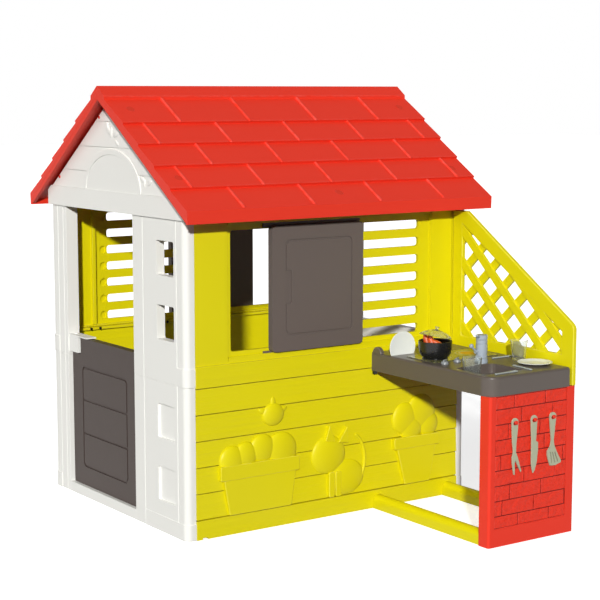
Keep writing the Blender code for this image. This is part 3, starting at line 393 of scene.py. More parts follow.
YELLOW_RGB: Triple = (0.715, 0.635, 0.002)
RED_RGB: Triple = (0.775, 0.037, 0.016)
WHITE_RGB: Triple = (0.800, 0.800, 0.765)
TAUPE_RGB: Triple = (0.128, 0.103, 0.092)

YELLOW = Plastic("yellow_plastic_finish", "yellow_wall", YELLOW_RGB)
YELLOW_WOOD = Plastic("yellow_wood_grain_finish", "yellow_wall", YELLOW_RGB, grain=Grain.WOOD)
WHITE = Plastic("white_plastic_finish", "white_gable", WHITE_RGB, 0.46, drift=0.010, wear_and_highlight_share=0.10)
# On the roof this share also sets the painted highlight on the joints and lips.
RED = Plastic("red_plastic_finish", "red_roof", RED_RGB, 0.40, wear_and_highlight_share=0.20)
RED_STONE = Plastic("red_brick_finish", "red_roof", RED_RGB, 0.45, grain=Grain.STONE)
# Painted shade: the dark red of the sheet behind the brick joints, standing in for the shade in them.
RED_JOINT_SHADE = Plastic("red_joint_shade_finish", "red_roof", (0.22, 0.010, 0.006), 0.60)
RED_CLIP = Plastic("red_clip_finish", "red_clip", (0.640, 0.036, 0.016), 0.38)
TAUPE = Plastic("taupe_shutter_finish", "taupe_shutter", TAUPE_RGB, 0.44)
DOOR_TAUPE = Plastic("taupe_door_finish", "taupe_door", (0.064, 0.048, 0.042), 0.46)
TOP_TAUPE = Plastic("taupe_worktop_finish", "taupe_worktop", (0.108, 0.089, 0.077), 0.32, gloss=0.35)
PALE_GREY = Plastic("pale_grey_finish", "pale_grey", (0.21, 0.2268, 0.2352), 0.30, gloss=0.5)
TAP_GREY = Plastic("tap_grey_finish", "tap_grey", (0.33, 0.38, 0.44), 0.24, gloss=0.6)
SAGE = Plastic("sage_utensil_finish", "sage_utensil", (0.42, 0.44, 0.31), 0.42)
CUTLERY_GREY = Plastic("cutlery_grey_finish", "cutlery_grey", (0.34, 0.38, 0.38), 0.26)
PORCELAIN = Plastic("plate_white_finish", "plate_white", (0.80, 0.83, 0.80), 0.22, gloss=0.5)
BLACK = Plastic("pot_black_finish", "pot_black", (0.010, 0.010, 0.010), 0.28, wear_and_highlight_share=0.05, gloss=0.45)
CLEAR = ClearPlastic()
FOOD = CookedFood()
HOB_FILM = HobPrint()


# Mesh building


def box(low: Sequence[float], high: Sequence[float]) -> Shape:
    """A box between two corners."""
    low_corner, high_corner = Vector(low), Vector(high)
    bm = bmesh.new()
    bmesh.ops.create_cube(bm, size=1.0)
    bmesh.ops.scale(bm, vec=high_corner - low_corner, verts=bm.verts)
    bmesh.ops.translate(bm, vec=(low_corner + high_corner) / 2, verts=bm.verts)
    return bm


def thickened(bm: Shape, faces: Sequence[bmesh.types.BMFace], by: Vector) -> Shape:
    """Flat faces made solid by pulling a copy of them away."""
    grown = bmesh.ops.extrude_face_region(bm, geom=faces)["geom"]
    far = [item for item in grown if isinstance(item, bmesh.types.BMVert)]
    bmesh.ops.translate(bm, vec=by, verts=far)
    bmesh.ops.recalc_face_normals(bm, faces=bm.faces)
    return bm


def prism(outline: Iterable[Pair], plane: Plane, low: float, high: float) -> Shape:
    """A flat outline made solid.

    Args:
        outline: Its corners, in order.
        plane: The plane that it is drawn in.
        low: Where the solid starts across the plane.
        high: Where it ends.

    Returns:
        The closed solid.
    """
    bm = bmesh.new()
    face = bm.faces.new([bm.verts.new(plane.point(u, v, low)) for u, v in outline])
    return thickened(bm, [face], plane.point(0, 0, high - low))


def ring_prism(
    outer: Sequence[Pair], inner: Sequence[Pair], plane: Plane, low: float, high: float
) -> Shape:
    """The solid between two outlines that have the same number of corners."""
    bm = bmesh.new()
    edges = []
    for loop in (outer, inner):
        verts = [bm.verts.new(plane.point(u, v, low)) for u, v in loop]
        edges += [bm.edges.new(pair) for pair in zip(verts, verts[1:] + verts[:1])]
    faces = bmesh.ops.bridge_loops(bm, edges=edges)["faces"]
    return thickened(bm, faces, plane.point(0, 0, high - low))


def rounded(low: Pair, high: Pair, radius: float, steps: int = 5) -> list[Pair]:
    """A rectangle's outline with round corners."""
    centres = [
        (high[0] - radius, high[1] - radius, 0),
        (low[0] + radius, high[1] - radius, 90),
        (low[0] + radius, low[1] + radius, 180),
        (high[0] - radius, low[1] + radius, 270),
    ]
    points = []
    for u, v, start in centres:
        for step in range(steps + 1):
            angle = math.radians(start + 90 * step / steps)
            points.append((u + radius * math.cos(angle), v + radius * math.sin(angle)))
    return points


def ellipse_arc(centre: Pair, radii: Pair, start: float, end: float, steps: int) -> list[Pair]:
    """Points on an ellipse between two angles in degrees."""
    angles = [math.radians(start + (end - start) * step / steps) for step in range(steps + 1)]
    return [(centre[0] + radii[0] * math.cos(a), centre[1] + radii[1] * math.sin(a)) for a in angles]


def rod(
    start: Sequence[float], end: Sequence[float], radius: float, end_radius: float | None = None,
    sides: int = 28,
) -> Shape:
    """A round rod, tapered where an end radius is given."""
    first, last = Vector(start), Vector(end)
    along = last - first
    turn = Vector((0, 0, 1)).rotation_difference(along).to_matrix().to_4x4()
    bm = bmesh.new()
    bmesh.ops.create_cone(
        bm, cap_ends=True, segments=sides, depth=along.length, radius1=radius,
        radius2=radius if end_radius is None else end_radius,
        matrix=Matrix.Translation((first + last) / 2) @ turn,
    )
    return bm


def blob(centre: Sequence[float], radii: Triple, turn: Matrix | None = None) -> Shape:
    """A stretched ball."""
    bm = bmesh.new()
    bmesh.ops.create_uvsphere(bm, u_segments=32, v_segments=18, radius=1.0)
    bmesh.ops.scale(bm, vec=radii, verts=bm.verts)
    if turn is not None:
        bmesh.ops.rotate(bm, cent=(0, 0, 0), matrix=turn.to_3x3(), verts=bm.verts)
    bmesh.ops.translate(bm, vec=Vector(centre), verts=bm.verts)
    return bm


def lathe(profile: Iterable[Pair], steps: int = 64) -> Shape:
    """A solid of revolution about Z, from (radius, height) points between two points on the axis."""
    bm = bmesh.new()
    verts = [bm.verts.new((radius, 0, height)) for radius, height in profile]
    edges = [bm.edges.new(pair) for pair in zip(verts, verts[1:])]
    geom = [*verts, *edges]
    bmesh.ops.spin(
        bm, geom=geom, axis=(0, 0, 1), cent=(0, 0, 0), steps=steps, angle=math.tau, use_merge=True
    )
    bmesh.ops.remove_doubles(bm, verts=bm.verts, dist=1e-6)
    bmesh.ops.recalc_face_normals(bm, faces=bm.faces)
    return bm


def wear_and_highlight_layer(bm: Shape) -> bmesh.types.BMLayerItem:
    """The face layer that tells the finishes where a shape is rubbed and where a highlight is painted on
    it.
    """
    return bm.faces.layers.float.get(WEAR_AND_HIGHLIGHT_MARK) or bm.faces.layers.float.new(WEAR_AND_HIGHLIGHT_MARK)


def soften(bm: Shape, width: float, segments: int = 2, angle: float = 28.0) -> Shape:
    """Rounds every edge that is sharper than an angle in degrees."""
    limit = math.radians(angle)
    edges = [edge for edge in bm.edges if edge.is_manifold and edge.calc_face_angle(0.0) > limit]
    mark = wear_and_highlight_layer(bm)
    made = bmesh.ops.bevel(
        bm, geom=edges, offset=width, offset_type="OFFSET", affect="EDGES", segments=segments,
        profile=0.5, clamp_overlap=True, material=-1,
    )
    for face in made["faces"]:
        face[mark] = 1.0
    return bm


def wear_and_highlight_tint(bm: Shape, share: float = 0.7) -> Shape:
    """Paints a highlight over a whole shape: marks all its faces for the lighter tint, by a share between
    0 and 1.
    """
    mark = wear_and_highlight_layer(bm)
    for face in bm.faces:
        face[mark] = share
    return bm


def moved(bm: Shape, matrix: Matrix) -> Shape:
    """The same shape, placed by a matrix."""
    bmesh.ops.transform(bm, matrix=matrix, verts=bm.verts)
    return bm


def joined(parts: Iterable[Shape]) -> Shape:
    """Several shapes held in one mesh."""
    whole = bmesh.new()
    wear_and_highlight_layer(whole)
    for part in parts:
        mesh = bpy.data.meshes.new("part")
        part.to_mesh(mesh)
        part.free()
        whole.from_mesh(mesh)
        bpy.data.meshes.remove(mesh)
    return whole


def scratch(bm: Shape) -> bpy.types.Object:
    """A passing object that holds a shape while it is cut."""
    mesh = bpy.data.meshes.new("scratch")
    bm.to_mesh(mesh)
    bm.free()
    obj = bpy.data.objects.new("scratch", mesh)
    bpy.context.scene.collection.objects.link(obj)
    return obj


def carved(bm: Shape, tools: Iterable[Shape], operation: str = "DIFFERENCE") -> Shape:
    """Cuts closed shapes from a closed shape, or joins or keeps what they share.

    Args:
        bm: The shape that is cut; it is used up.
        tools: The cutting shapes; they are used up too.
        operation: DIFFERENCE, UNION or INTERSECT.

    Returns:
        The cut shape.
    """
    holder = scratch(bm)
    cutters = [scratch(tool) for tool in tools]
    for cutter in cutters:
        modifier = holder.modifiers.new("cut", "BOOLEAN")
        modifier.object = cutter
        modifier.operation = operation
        modifier.solver = "EXACT"
    graph = bpy.context.evaluated_depsgraph_get()
    mesh = bpy.data.meshes.new_from_object(holder.evaluated_get(graph))
    result = bmesh.new()
    result.from_mesh(mesh)
    bpy.data.meshes.remove(mesh)
    for obj in (holder, *cutters):
        data = obj.data
        bpy.data.objects.remove(obj, do_unlink=True)
        bpy.data.meshes.remove(data)
    bmesh.ops.remove_doubles(result, verts=result.verts, dist=1e-6)
    flat = math.radians(0.3)
    bmesh.ops.dissolve_limit(result, angle_limit=flat, verts=result.verts, edges=result.edges)
    return result


def sliced(bm: Shape, point: Vector, out: Vector) -> None:
    """Takes off what lies past a plane and closes the cut."""
    geom = [*bm.verts, *bm.edges, *bm.faces]
    cut = bmesh.ops.bisect_plane(bm, geom=geom, plane_co=point, plane_no=out, clear_outer=True)
    rim = [item for item in cut["geom_cut"] if isinstance(item, bmesh.types.BMEdge)]
    if rim:
        bmesh.ops.holes_fill(bm, edges=rim)


def node_shape(node: str) -> Shape:
    """A CAD node's shape in the frame's coordinates, with its flat faces made whole."""
    bm = bmesh.new()
    bm.from_mesh(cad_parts[node].data)
    bmesh.ops.remove_doubles(bm, verts=bm.verts, dist=1e-5)
    bmesh.ops.dissolve_limit(bm, angle_limit=math.radians(0.5), verts=bm.verts, edges=bm.edges)
    return bm


def piece(
    name: str,
    bm: Shape,
    finish: Any,
    body: str = HOUSE,
    half: Half | None = Half.FRONT,
    replaces: Sequence[str] = (),
    smooth: float = 40.0,
) -> bpy.types.Object:
    """Makes a shape one finished piece.

    Args:
        name: The piece's name.
        bm: Its shape; it is used up.
        finish: What it is made of.
        body: The moving body that it rides on.
        half: The half whose coordinates it is drawn in, or None for the frame's own.
        replaces: CAD nodes that it stands for.
        smooth: Edges flatter than this many degrees are shaded smooth.

    Returns:
        The piece's object.
    """
    if half is not None:
        moved(bm, half.place)
    mesh = bpy.data.meshes.new(name)
    bm.to_mesh(mesh)
    bm.free()
    mesh.materials.append(finish.material())
    mesh.shade_smooth()
    mesh.set_sharp_from_angle(angle=math.radians(smooth))
    obj = bpy.data.objects.new(name, mesh)
    bpy.context.scene.collection.objects.link(obj)
    even = obj.modifiers.new("even_faces", "WEIGHTED_NORMAL")
    even.keep_sharp = True
    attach(obj, body)
    if replaces:
        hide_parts(*replaces)
    LOG.info("%s: %d faces on %s", name, len(mesh.polygons), body)
    return obj


def stand_in(
    node: str, bm: Shape, finish: Any, body: str = HOUSE, half: Half | None = Half.FRONT
) -> bpy.types.Object:
    """A piece that is drawn here in a CAD node's place."""
    return piece(f"{node}_moulding", bm, finish, body, half, [node])


def moulding(
    node: str, finish: Any, width: float = 0.0012, body: str = HOUSE, segments: int = 2,
    tools: Sequence[Shape] = (), half: Half = Half.FRONT,
) -> bpy.types.Object:
    """A CAD node's own shape as a finished piece, with its edges rounded as a mould rounds them.

    Args:
        node: The CAD node.
        finish: What it is made of.
        width: Width of the rounding.
        body: The moving body that it rides on.
        segments: Steps in the rounding.
        tools: Shapes that are cut from it first.
        half: The half whose coordinates the tools are drawn in.

    Returns:
        The piece's object.
    """
    bm = node_shape(node)
    if tools:
        bm = carved(bm, [moved(tool, half.place) for tool in tools])
    return stand_in(node, soften(bm, width, segments), finish, body, None)


# The house


@dataclass
class RoofSlope:
    """One slope of stepped tile rows, with raised joints, a ridge cap and its turn clips."""

    half: Half
    eave_height: float = 0.935
    overhang: float = 0.075
    rows: int = 5
    cap_length: float = 0.080
    cap_foot: float = 0.057
    tile_step: float = 0.007
    joint_radius: float = 0.0046
    joint_pitch: float = 0.222
    ridge_end: float = 0.0465
    eave_end: float = 0.035
    nub_radii: Triple = (0.0052, 0.0052, 0.0046)
    last_joint_cut: float = 0.006
    cap_shoulder: float = 0.007
    cap_drop: float = 0.0088
    lip_radius: float = 0.0034
    clips: int = 5

    @property
    def run(self) -> float:
        """The slope's length in plan."""
        return DEPTH / 2 + self.overhang

    @property
    def rise(self) -> float:
        """The slope's height."""
        return RIDGE - self.eave_height

    @property
    def length(self) -> float:
        """The slope's own length."""
        return math.hypot(self.run, self.rise)

    @property
    def pitch(self) -> float:
        """Length of one tile row along the slope."""
        return (self.length - self.cap_length) / self.rows

    def point(self, x: float, along: float, out: float) -> Vector:
        """A point x along the ridge, some way down the slope and out from it, with the ends flared."""
        y = DEPTH / 2 - (along * self.run + out * self.rise) / self.length
        z = RIDGE + (out * self.run - along * self.rise) / self.length
        share = (z - self.eave_height) / self.rise
        reach = self.eave_end + share * (self.ridge_end - self.eave_end)
        middle = LENGTH / 2
        return Vector((middle + (x - middle) * (middle + reach) / middle, y, z))

    def joints(self, row: int) -> list[float]:
        """Places along the ridge of a row's raised joints."""
        first = self.joint_pitch / 2 if row % 2 == 0 else 0.0
        offsets = [first + self.joint_pitch * step for step in range(2 if first else 3)]
        return sorted({LENGTH / 2 + side * offset for offset in offsets for side in (-1, 1)})

    def joint(self, row: int, x: float) -> Shape:
        """A raised joint down one row, with the nub where it turns over the step, lightened all over as a
        painted highlight.
        """
        top = self.cap_length + row * self.pitch
        foot = top + self.pitch - (self.last_joint_cut if row == self.rows - 1 else 0.0)
        top = self.cap_foot if row == 0 else top
        start = self.point(x, top - 0.002, -self.tile_step)
        end = self.point(x, foot - 0.004, -0.0012)
        rib = rod(start, end, self.joint_radius, self.joint_radius * 1.15, 14)
        nub = blob(self.point(x, foot - 0.0045, -0.0015), self.nub_radii)
        # Painted highlight: the whole joint and its nub get the lighter tint, standing in for the light
        # that the raised joint catches.
        return wear_and_highlight_tint(joined([rib, nub]))

    def lip(self, along: float, radius: float) -> Shape:
        """The rounded lip along a row's lower edge, lightened as a painted highlight."""
        start = self.point(0.002, along - radius, -radius * 0.92)
        end = self.point(LENGTH - 0.002, along - radius, -radius * 0.92)
        # Painted highlight: the whole lip gets half of the lighter tint, standing in for the light that
        # the lip catches.
        return wear_and_highlight_tint(rod(start, end, radius, sides=16), 0.5)

    def cap_cut(self) -> Shape:
        """What is taken off below the ridge cap, so that the cap ends in a steep band."""
        top, end = self.cap_foot - self.cap_shoulder, self.cap_length + 0.0006
        steps = [(top - 0.001, 0.01), (top, 0.0), (self.cap_foot, -self.cap_drop)]
        steps += [(end, -0.0071), (end, 0.01)]
        outline = [self.point(0, along, out) for along, out in steps]
        return prism([(point.y, point.z) for point in outline], Plane.SIDE, -0.1, LENGTH + 0.1)

    def build(self) -> None:
        """Makes the slope, its joints, lips and clips."""
        name = self.half.value
        moulding(f"{name}_roof_slope", RED, 0.0022, HOUSE, 3, [self.cap_cut()], self.half)
        ribs = [self.joint(row, x) for row in range(self.rows) for x in self.joints(row)]
        piece(f"{name}_roof_joints", joined(ribs), RED, half=self.half)
        edges = [self.cap_foot - 0.004]
        edges += [self.cap_length + row * self.pitch for row in range(1, self.rows)]
        lips = [self.lip(edge, self.lip_radius) for edge in edges]
        piece(f"{name}_roof_lips", joined(lips), RED, half=self.half)
        for number in range(1, self.clips + 1):
            moulding(f"{name}_roof_clip_{number}", RED_CLIP, 0.0010)


@dataclass
class LowerWall:
    """A planked lower wall with raised garden scenes, moulded in one piece."""

    half: Half
    relief: float = 0.0135
    plinth: float = 0.058
    planks: int = 5
    plank_pitch: float = 0.0751
    seam_height: float = 0.0034
    seam_depth: float = 0.0090
    hold: float = 0.004
    tub_taper: float = 0.012

    def raised(self, outline: Iterable[Pair], reach: float, width: float = 0.0022) -> Shape:
        """A flat raised area of the wall with round edges."""
        return soften(prism(outline, Plane.FRONT, -reach, self.hold), width, 3)

    def tub(self, rim: tuple[Pair, Pair], foot: Pair) -> list[Shape]:
        """A tapered planter with a broad rim."""
        (left, low), (right, high) = rim
        lip = self.raised(rounded((left, low), (right, high), 0.006), self.relief)
        left, right, low = left + self.tub_taper, right - self.tub_taper, low + 0.004
        body = [(left, low), (right, low), (foot[1], self.plinth)]
        return [lip, self.raised([*body, (foot[0], self.plinth)], self.relief - 0.0018)]

    def bush(self, lobes: Iterable[Triple]) -> list[Shape]:
        """A clipped bush: overlapping flat domes, each given by its centre and radius."""
        return [blob((x, 0.0, z), (r, self.relief + 0.0006, r)) for x, z, r in lobes]

    def sitting_pet(self) -> list[Shape]:
        """A plain sitting house pet: head, two ears, body, legs and a curled tail."""
        depth = self.relief
        parts = [
            blob((0.487, 0.0, 0.187), (0.062, depth + 0.001, 0.058)),
            blob((0.552, 0.0, 0.112), (0.066, depth - 0.0012, 0.054)),
        ]
        for x, z, lean in ((0.487, 0.232, -0.002), (0.534, 0.222, 0.016)):
            ear = [(x - 0.016, z), (x + 0.018, z - 0.004), (x + lean, z + 0.044)]
            parts.append(self.raised(ear, depth - 0.0006, 0.0012))
        for x in (0.494, 0.518):
            leg = rounded((x - 0.010, self.plinth), (x + 0.010, 0.135), 0.006)
            parts.append(self.raised(leg, depth - 0.0014))
        curl = ellipse_arc((0.560, 0.160), (0.062, 0.084), -70, 62, 12)
        for (ax, az), (bx, bz) in zip(curl, curl[1:]):
            parts.append(rod((ax, -0.001, az), (bx, -0.001, bz), 0.0052, sides=12))
            parts.append(blob((bx, -0.001, bz), (0.0052, 0.0052, 0.0052)))
        return parts

    def sprig(self) -> list[Shape]:
        """A round seed head with three leaves."""
        parts = [blob((0.290, 0.0, 0.332), (0.038, self.relief, 0.034))]
        for angle in (20, 90, 160):
            turn = Matrix.Rotation(math.radians(-angle), 4, "Y")
            reach = turn @ Vector((0.034, 0, 0))
            parts.append(blob((0.290 + reach.x, 0.0, 0.332 + reach.z), (0.018, 0.005, 0.009), turn))
        return parts

    def seams(self) -> list[Shape]:
        """The shadow gaps under the planks' feet and under the band."""
        cuts = []
        for row in range(self.planks + 1):
            foot = self.plinth + row * self.plank_pitch
            low = (0.0, -0.02, foot - self.seam_height)
            cuts.append(box(low, (LENGTH, self.seam_depth, foot)))
        return cuts

    def build(self) -> None:
        """Makes the wall and its raised scenes."""
        name = f"{self.half.value}_lower_wall"
        tools = [box((0.050, -0.02, -0.01), (0.068, 0.04, 0.005)), *self.seams()]
        moulding(name, YELLOW_WOOD, 0.0007, HOUSE, 2, tools, self.half)
        left = [(0.150, 0.214, 0.044), (0.196, 0.224, 0.040), (0.252, 0.236, 0.044), (0.318, 0.224, 0.054)]
        right = [(0.776, 0.262, 0.050), (0.838, 0.276, 0.056), (0.866, 0.236, 0.040)]
        right.append((0.800, 0.232, 0.044))
        scenes = [
            *self.bush(left),
            *self.tub(((0.1054, 0.160), (0.376, 0.203)), (0.1365, 0.3483)),
            *self.sprig(),
            *self.sitting_pet(),
            *self.bush(right),
            *self.tub(((0.7285, 0.170), (0.9046, 0.206)), (0.7712, 0.8679)),
        ]
        piece(f"{self.half.value}_wall_reliefs", joined(scenes), YELLOW, half=self.half)


@dataclass
class UpperWall:
    """A window wall: an opening at one side, louvres at the other, and the shutter's groove."""

    half: Half
    thickness: float = 0.026
    louvre_back: float = 0.020
    groove_width: float = 0.0032
    groove_depth: float = 0.0038
    lines: tuple[float, ...] = (0.140, 0.8724, 0.956)
    slot_end: float = 0.831
    slot_low: float = 0.5255
    slot_high: float = 0.8685
    slot_height: float = 0.0265
    slots: int = 7
    inner_ends: Pair = (0.045, 0.970)
    ledge: float = 0.4995
    bolts: tuple[float, ...] = (0.16, 0.62, 0.868, 0.90)
    hollow: float = 0.0125

    def build(self) -> None:
        """Makes the wall with its grooves and the thumb hollows behind the louvres."""
        name = f"{self.half.value}_upper_wall"
        tools = []
        for x in self.lines:
            low = (x - self.groove_width / 2, -0.01, 0.500)
            tools.append(box(low, (x + self.groove_width / 2, self.groove_depth, 0.96)))
        pitch = (self.slot_high - self.slot_low - self.slot_height) / (self.slots - 1)
        for number in range(self.slots):
            z = self.slot_low + pitch * number + self.slot_height / 2
            start = (self.slot_end + 0.013, self.louvre_back - 0.0078, z)
            tools.append(rod(start, (start[0], self.thickness + 0.01, z), self.hollow))
        moulding(name, YELLOW, 0.0010, HOUSE, 2, tools, self.half)
        self.inner_frame()

    def inner_frame(self) -> None:
        """The ledges and the lip moulded on the wall's inner side, with the dark bolts on the ledge."""
        inner = self.thickness - 0.0005
        left, right = self.inner_ends
        bars = [
            box((left, inner, self.ledge - 0.0040), (right, inner + 0.012, self.ledge + 0.0040)),
            box((left, inner, 0.5065), (right, inner + 0.007, 0.5110)),
            box((0.878, inner, 0.5120), (0.890, inner + 0.010, 0.8860)),
            box((left, inner, 0.8880), (right, inner + 0.008, 0.8960)),
        ]
        frame_bars = joined([soften(bar, 0.0012) for bar in bars])
        piece(f"{self.half.value}_wall_inner_frame", frame_bars, YELLOW, half=self.half)
        bolts = [
            rod((x, inner, self.ledge), (x, inner + 0.0145, self.ledge), 0.0042)
            for x in self.bolts
        ]
        piece(f"{self.half.value}_wall_bolts", joined(bolts), BLACK, half=self.half)


@dataclass
class Shutter:
    """A sliding shutter with an engraved panel line and a finger grip."""

    half: Half
    inset: Pair = (0.044, 0.040)
    line_ends: Pair = (0.558, 0.835)
    grip_reach: float = 0.020
    line_width: float = 0.0056
    line_depth: float = 0.0030

    def build(self) -> None:
        """Makes the leaf."""
        node = f"{self.half.value}_shutter"
        back = self.half.place.inverted()
        corners = [back @ Vector(corner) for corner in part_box(node)]
        face = min(corner.y for corner in corners)
        left = min(corner.x for corner in corners) + self.grip_reach
        right = max(corner.x for corner in corners)
        low = (left + self.inset[0], self.line_ends[0])
        high = (right - self.inset[1], self.line_ends[1])
        w = self.line_width
        outer = rounded(low, high, 0.016)
        inner = rounded((low[0] + w, low[1] + w), (high[0] - w, high[1] - w), 0.012)
        groove = ring_prism(outer, inner, Plane.FRONT, face - 0.01, face + self.line_depth)
        moulding(node, TAUPE, 0.0013, node, 3, [groove], self.half)


@dataclass
class GableWall:
    """The wide panel and the narrow post of a gable, with collars, feet and grooves."""

    half: Half
    post_round: float = 0.018
    wrap: float = 0.031
    column: float = 0.045
    strip: float = 0.234
    proud: float = 0.0022
    collar: Pair = (0.4375, 0.490)
    foot: Pair = (0.0, 0.047)
    opening: Pair = (0.292, 0.715)

    def sleeve(self, low: float, high: float, far: bool) -> Shape:
        """A band round a corner column, a little proud of it."""
        grow = self.proud
        radius = self.post_round + grow
        round_part = ellipse_arc((self.post_round, self.post_round), (radius, radius), 180, 270, 8)
        outline = [
            *round_part,
            (self.wrap, -grow),
            (self.wrap, 0.004),
            (self.post_round, self.post_round),
            (0.004, self.column),
            (-grow, self.column),
        ]
        if far:
            outline = [(x, DEPTH - y) for x, y in reversed(outline)]
        return soften(prism(outline, Plane.PLAN, low, high), 0.0010, 3)

    def groove(self, y: float, low: float, high: float) -> Shape:
        """An upright line cut into the gable's face."""
        return box((-0.01, y - 0.0012, low), (0.0016, y + 0.0012, high))

    def build(self) -> None:
        """Makes both panels, both posts and their bands."""
        gable = self.half.gable
        heights = {"lower": (-0.01, 0.45), "upper": (0.42, 0.95)}
        for level, (low, high) in heights.items():
            lines = {
                "panel": (self.column + 0.0012, self.strip),
                "post": (DEPTH - self.column - 0.0012, self.opening[1] + 0.020),
            }
            for kind, places in lines.items():
                node = f"{gable}_gable_{kind}_{level}"
                tools = [self.groove(y, low, high) for y in places]
                moulding(node, WHITE, 0.0011, HOUSE, 2, tools, self.half)
        bands = [
            self.sleeve(low, high, far) for low, high in (self.collar, self.foot) for far in (False, True)
        ]
        foot_line = rounded((self.column, 0.0), (self.strip - 0.003, self.foot[1]), 0.001, 1)
        skirt = prism(foot_line, Plane.SIDE, -0.0015, 0.003)
        bands.append(soften(skirt, 0.0007))
        piece(f"{gable}_gable_bands", joined(bands), WHITE, half=self.half)


@dataclass
class GableTop:
    """The triangle over a gable: weatherboards, a raised arch with a plain field, and leaf ornaments."""

    half: Half
    slope: RoofSlope
    board_feet: tuple[float, ...] = (0.963, 1.017, 1.0915, 1.1670)
    board_proud: float = 0.0030
    clearance: float = 0.0315
    arch_radii: Pair = (0.176, 0.124)
    arch_width: float = 0.017
    arch_proud: float = 0.0048
    field_proud: float = 0.0034
    arch_steps: int = 28

    def roof_cut(self, bm: Shape) -> Shape:
        """Cuts a shape off under both slopes."""
        run, rise, length = self.slope.run, self.slope.rise, self.slope.length
        for side in (-1, 1):
            out = Vector((0, side * rise / length, run / length))
            ridge = Vector((0, DEPTH / 2, RIDGE))
            sliced(bm, ridge - out * self.clearance, out)
        return bm

    def board(self, foot: float, top: float) -> Shape:
        """One weatherboard: thick along its foot and thin at its top."""
        section = [(0.003, foot), (-self.board_proud, foot + 0.0006), (-0.0004, top), (0.003, top)]
        return self.roof_cut(prism(section, Plane.FRONT, 0.0, DEPTH))

    def leaf(self, y: float, z: float, angle: float, size: float) -> Shape:
        """One raised leaf with its tip turned by an angle in degrees."""
        turn = Matrix.Rotation(math.radians(angle), 4, "X")
        reach = turn @ Vector((0, size, 0))
        return blob((-0.0022, y + reach.y, z + reach.z), (0.0030, size, size * 0.42), turn)

    def build(self) -> None:
        """Makes the top and all that is raised on it."""
        gable = self.half.gable
        node = f"{gable}_gable_top"
        moulding(node, WHITE, 0.0013)
        foot = self.board_feet[0]
        centre = (DEPTH / 2, foot)
        tops = [*self.board_feet[1:], RIDGE]
        boards = joined([self.board(low, high - 0.0012) for low, high in zip(self.board_feet, tops)])
        outline = ellipse_arc(centre, self.arch_radii, 0, 180, self.arch_steps)
        outline.append((centre[0], foot - 0.05))
        hole = prism(outline, Plane.SIDE, -0.02, 0.02)
        piece(f"{gable}_gable_boards", carved(boards, [hole]), WHITE, half=self.half, smooth=30)
        a, b = self.arch_radii
        inner = (a - self.arch_width, b - self.arch_width)
        field = ellipse_arc(centre, inner, 0, 180, self.arch_steps)
        arch = ellipse_arc(centre, (a, b), 0, 180, self.arch_steps) + field[::-1]
        raised = [
            soften(prism(field, Plane.SIDE, -self.field_proud, 0.003), 0.0010),
            soften(prism(arch, Plane.SIDE, -self.arch_proud, 0.003), 0.0016, 3),
        ]
        for y, z, angle, size in (
            (0.405, 1.128, 35, 0.020), (0.392, 1.124, 160, 0.019), (0.410, 1.118, 100, 0.016),
            (0.384, 1.112, 210, 0.014), (0.428, 1.140, 80, 0.013),
            (0.208, 0.996, 30, 0.016), (0.196, 0.990, 150, 0.014), (0.214, 0.984, 95, 0.012),
        ):
            raised.append(self.leaf(y, z, angle, size))
        piece(f"{gable}_gable_ornament", joined(raised), WHITE, half=self.half)


@dataclass
class HalfDoor:
    """The low door with its engraved panels, on a drop pin in a bracket."""

    frame_low: Pair = (0.3535, 0.0925)
    frame_high: Pair = (0.6400, 0.4100)
    cross_lines: Pair = (0.2000, 0.3050)
    line_width: float = 0.0065
    line_depth: float = 0.0036
    corner: float = 0.013

    def build(self) -> None:
        """Makes the door, the bracket, the pin and the sill."""
        node = "half_door"
        low, high = (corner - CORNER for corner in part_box(node))
        w = self.line_width
        outer = rounded(self.frame_low, self.frame_high, 0.016)
        inner_low = (self.frame_low[0] + w, self.frame_low[1] + w)
        inner_high = (self.frame_high[0] - w, self.frame_high[1] - w)
        inner = rounded(inner_low, inner_high, 0.012)
        place = Half.FRONT.place
        profile = rounded((low.y, low.z), (high.y + 0.03, high.z), self.corner)
        shape = prism(profile, Plane.SIDE, -0.05, 0.1)
        door = carved(node_shape(node), [moved(shape, place)], "INTERSECT")
        tools = []
        faces = ((low.x - 0.01, low.x + self.line_depth), (high.x - self.line_depth, high.x + 0.01))
        for start, end in faces:
            tools.append(ring_prism(outer, inner, Plane.SIDE, start, end))
            for z in self.cross_lines:
                near = (start, inner_low[0] - 0.001, z - w / 2)
                tools.append(box(near, (end, inner_high[0] + 0.001, z + w / 2)))
        door = carved(door, [moved(tool, place) for tool in tools])
        stand_in(node, soften(door, 0.0014, 3), DOOR_TAUPE, node, None)
        moulding("door_hinge_bracket", WHITE, 0.0020, segments=3)
        moulding("door_hinge_pin", WHITE, 0.0008)
        moulding("door_gable_sill", WHITE, 0.0015)
        moulding("plain_gable_infill", WHITE, 0.0011)


# The kitchen


